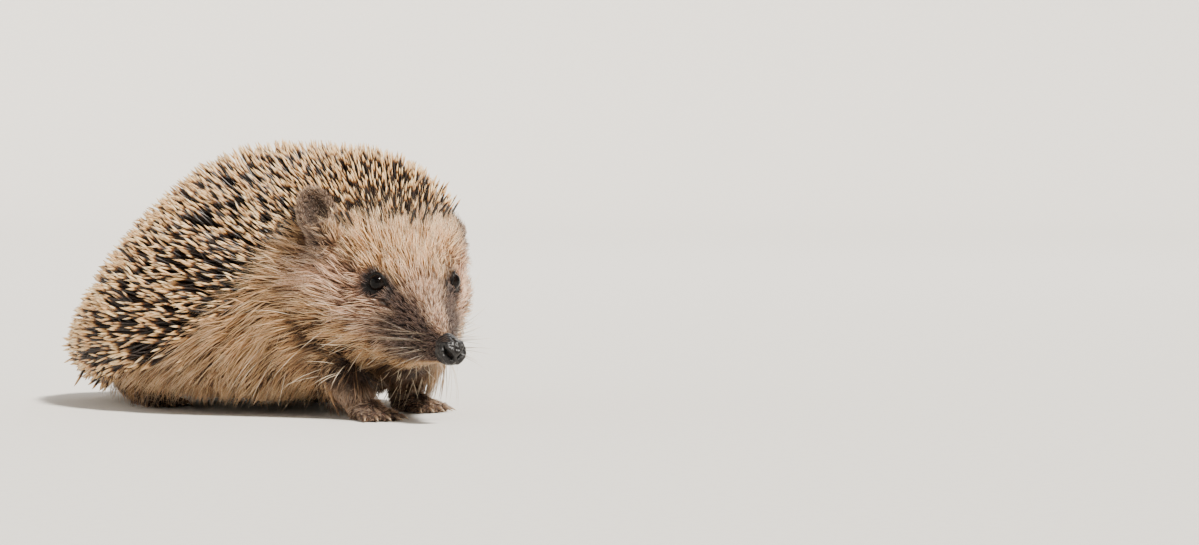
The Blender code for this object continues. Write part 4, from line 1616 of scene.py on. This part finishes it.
def aimed(name, data, azimuth, elevation, distance, aim=(0, 0, 0.03)):
    """Stands a lamp or the camera so far from its aim, looking at it; angles in radians."""
    made = add_object(name, data)
    away = pointing(azimuth, elevation)
    made.location = Vector(aim) + away * distance
    made.rotation_euler = away.to_track_quat("Z", "Y").to_euler()
    return made


class HEDGEHOG_OT_stage(bpy.types.Operator):
    """Lays the paper floor and sets the lights and the camera"""

    bl_idname = "hedgehog.stage"
    bl_label = "Stage"

    def execute(self, context):
        scene, stage = context.scene, context.scene.hedgehog_stage
        floor = finish(studio_floor(), floor_material(scene.hedgehog_look))
        scene.world = bpy.data.worlds.new("studio")
        scene.world.use_nodes = True
        plug(scene.world.node_tree.nodes["Background"], Color="E9EBEE", Strength=stage.sky)
        key = bpy.data.lights.new("key", "SUN")
        key.energy = stage.key
        key.angle = math.radians(9.0)
        key.color = (1.0, 0.95, 0.87)
        aimed("key", key, math.radians(2), math.radians(56), 2.0)
        for name, azimuth, elevation, size, power in (
            ("fill", -95, 18, 1.0, stage.fill), ("rim", 120, 35, 0.6, stage.rim),
        ):
            lamp = bpy.data.lights.new(name, "AREA")
            lamp.size = size
            lamp.energy = power
            aimed(name, lamp, math.radians(azimuth), math.radians(elevation), 1.6)
        data = bpy.data.cameras.new("camera")
        data.lens = stage.lens
        data.clip_start = 0.01
        scene.camera = aimed("camera", data, stage.azimuth, stage.elevation, stage.distance, stage.aim)
        return {"FINISHED"}


class HEDGEHOG_PT_panel(bpy.types.Panel):
    bl_label = "Hedgehog"
    bl_space_type = "VIEW_3D"
    bl_region_type = "UI"
    bl_category = "Hedgehog"

    def draw(self, context):
        for settings in (context.scene.hedgehog_look, context.scene.hedgehog_stage):
            for name in settings.__annotations__:
                self.layout.prop(settings, name)
        for step in STEPS:
            self.layout.operator(step.bl_idname)


STEPS = (
    HEDGEHOG_OT_stage, HEDGEHOG_OT_skin, HEDGEHOG_OT_eyes, HEDGEHOG_OT_nose, HEDGEHOG_OT_claws,
    HEDGEHOG_OT_spines, HEDGEHOG_OT_fur, HEDGEHOG_OT_whiskers,
)
CLASSES = (HedgehogLook, HedgehogStage, *STEPS, HEDGEHOG_PT_panel)


def register():
    for cls in CLASSES:
        bpy.utils.register_class(cls)
    bpy.types.Scene.hedgehog_look = PointerProperty(type=HedgehogLook)
    bpy.types.Scene.hedgehog_stage = PointerProperty(type=HedgehogStage)


def unregister():
    del bpy.types.Scene.hedgehog_stage
    del bpy.types.Scene.hedgehog_look
    for cls in reversed(CLASSES):
        bpy.utils.unregister_class(cls)


def main():
    """Makes every piece and the stage."""
    register()
    for step in STEPS:
        group, name = step.bl_idname.split(".")
        getattr(getattr(bpy.ops, group), name)()


if __name__ == "__main__":
    main()
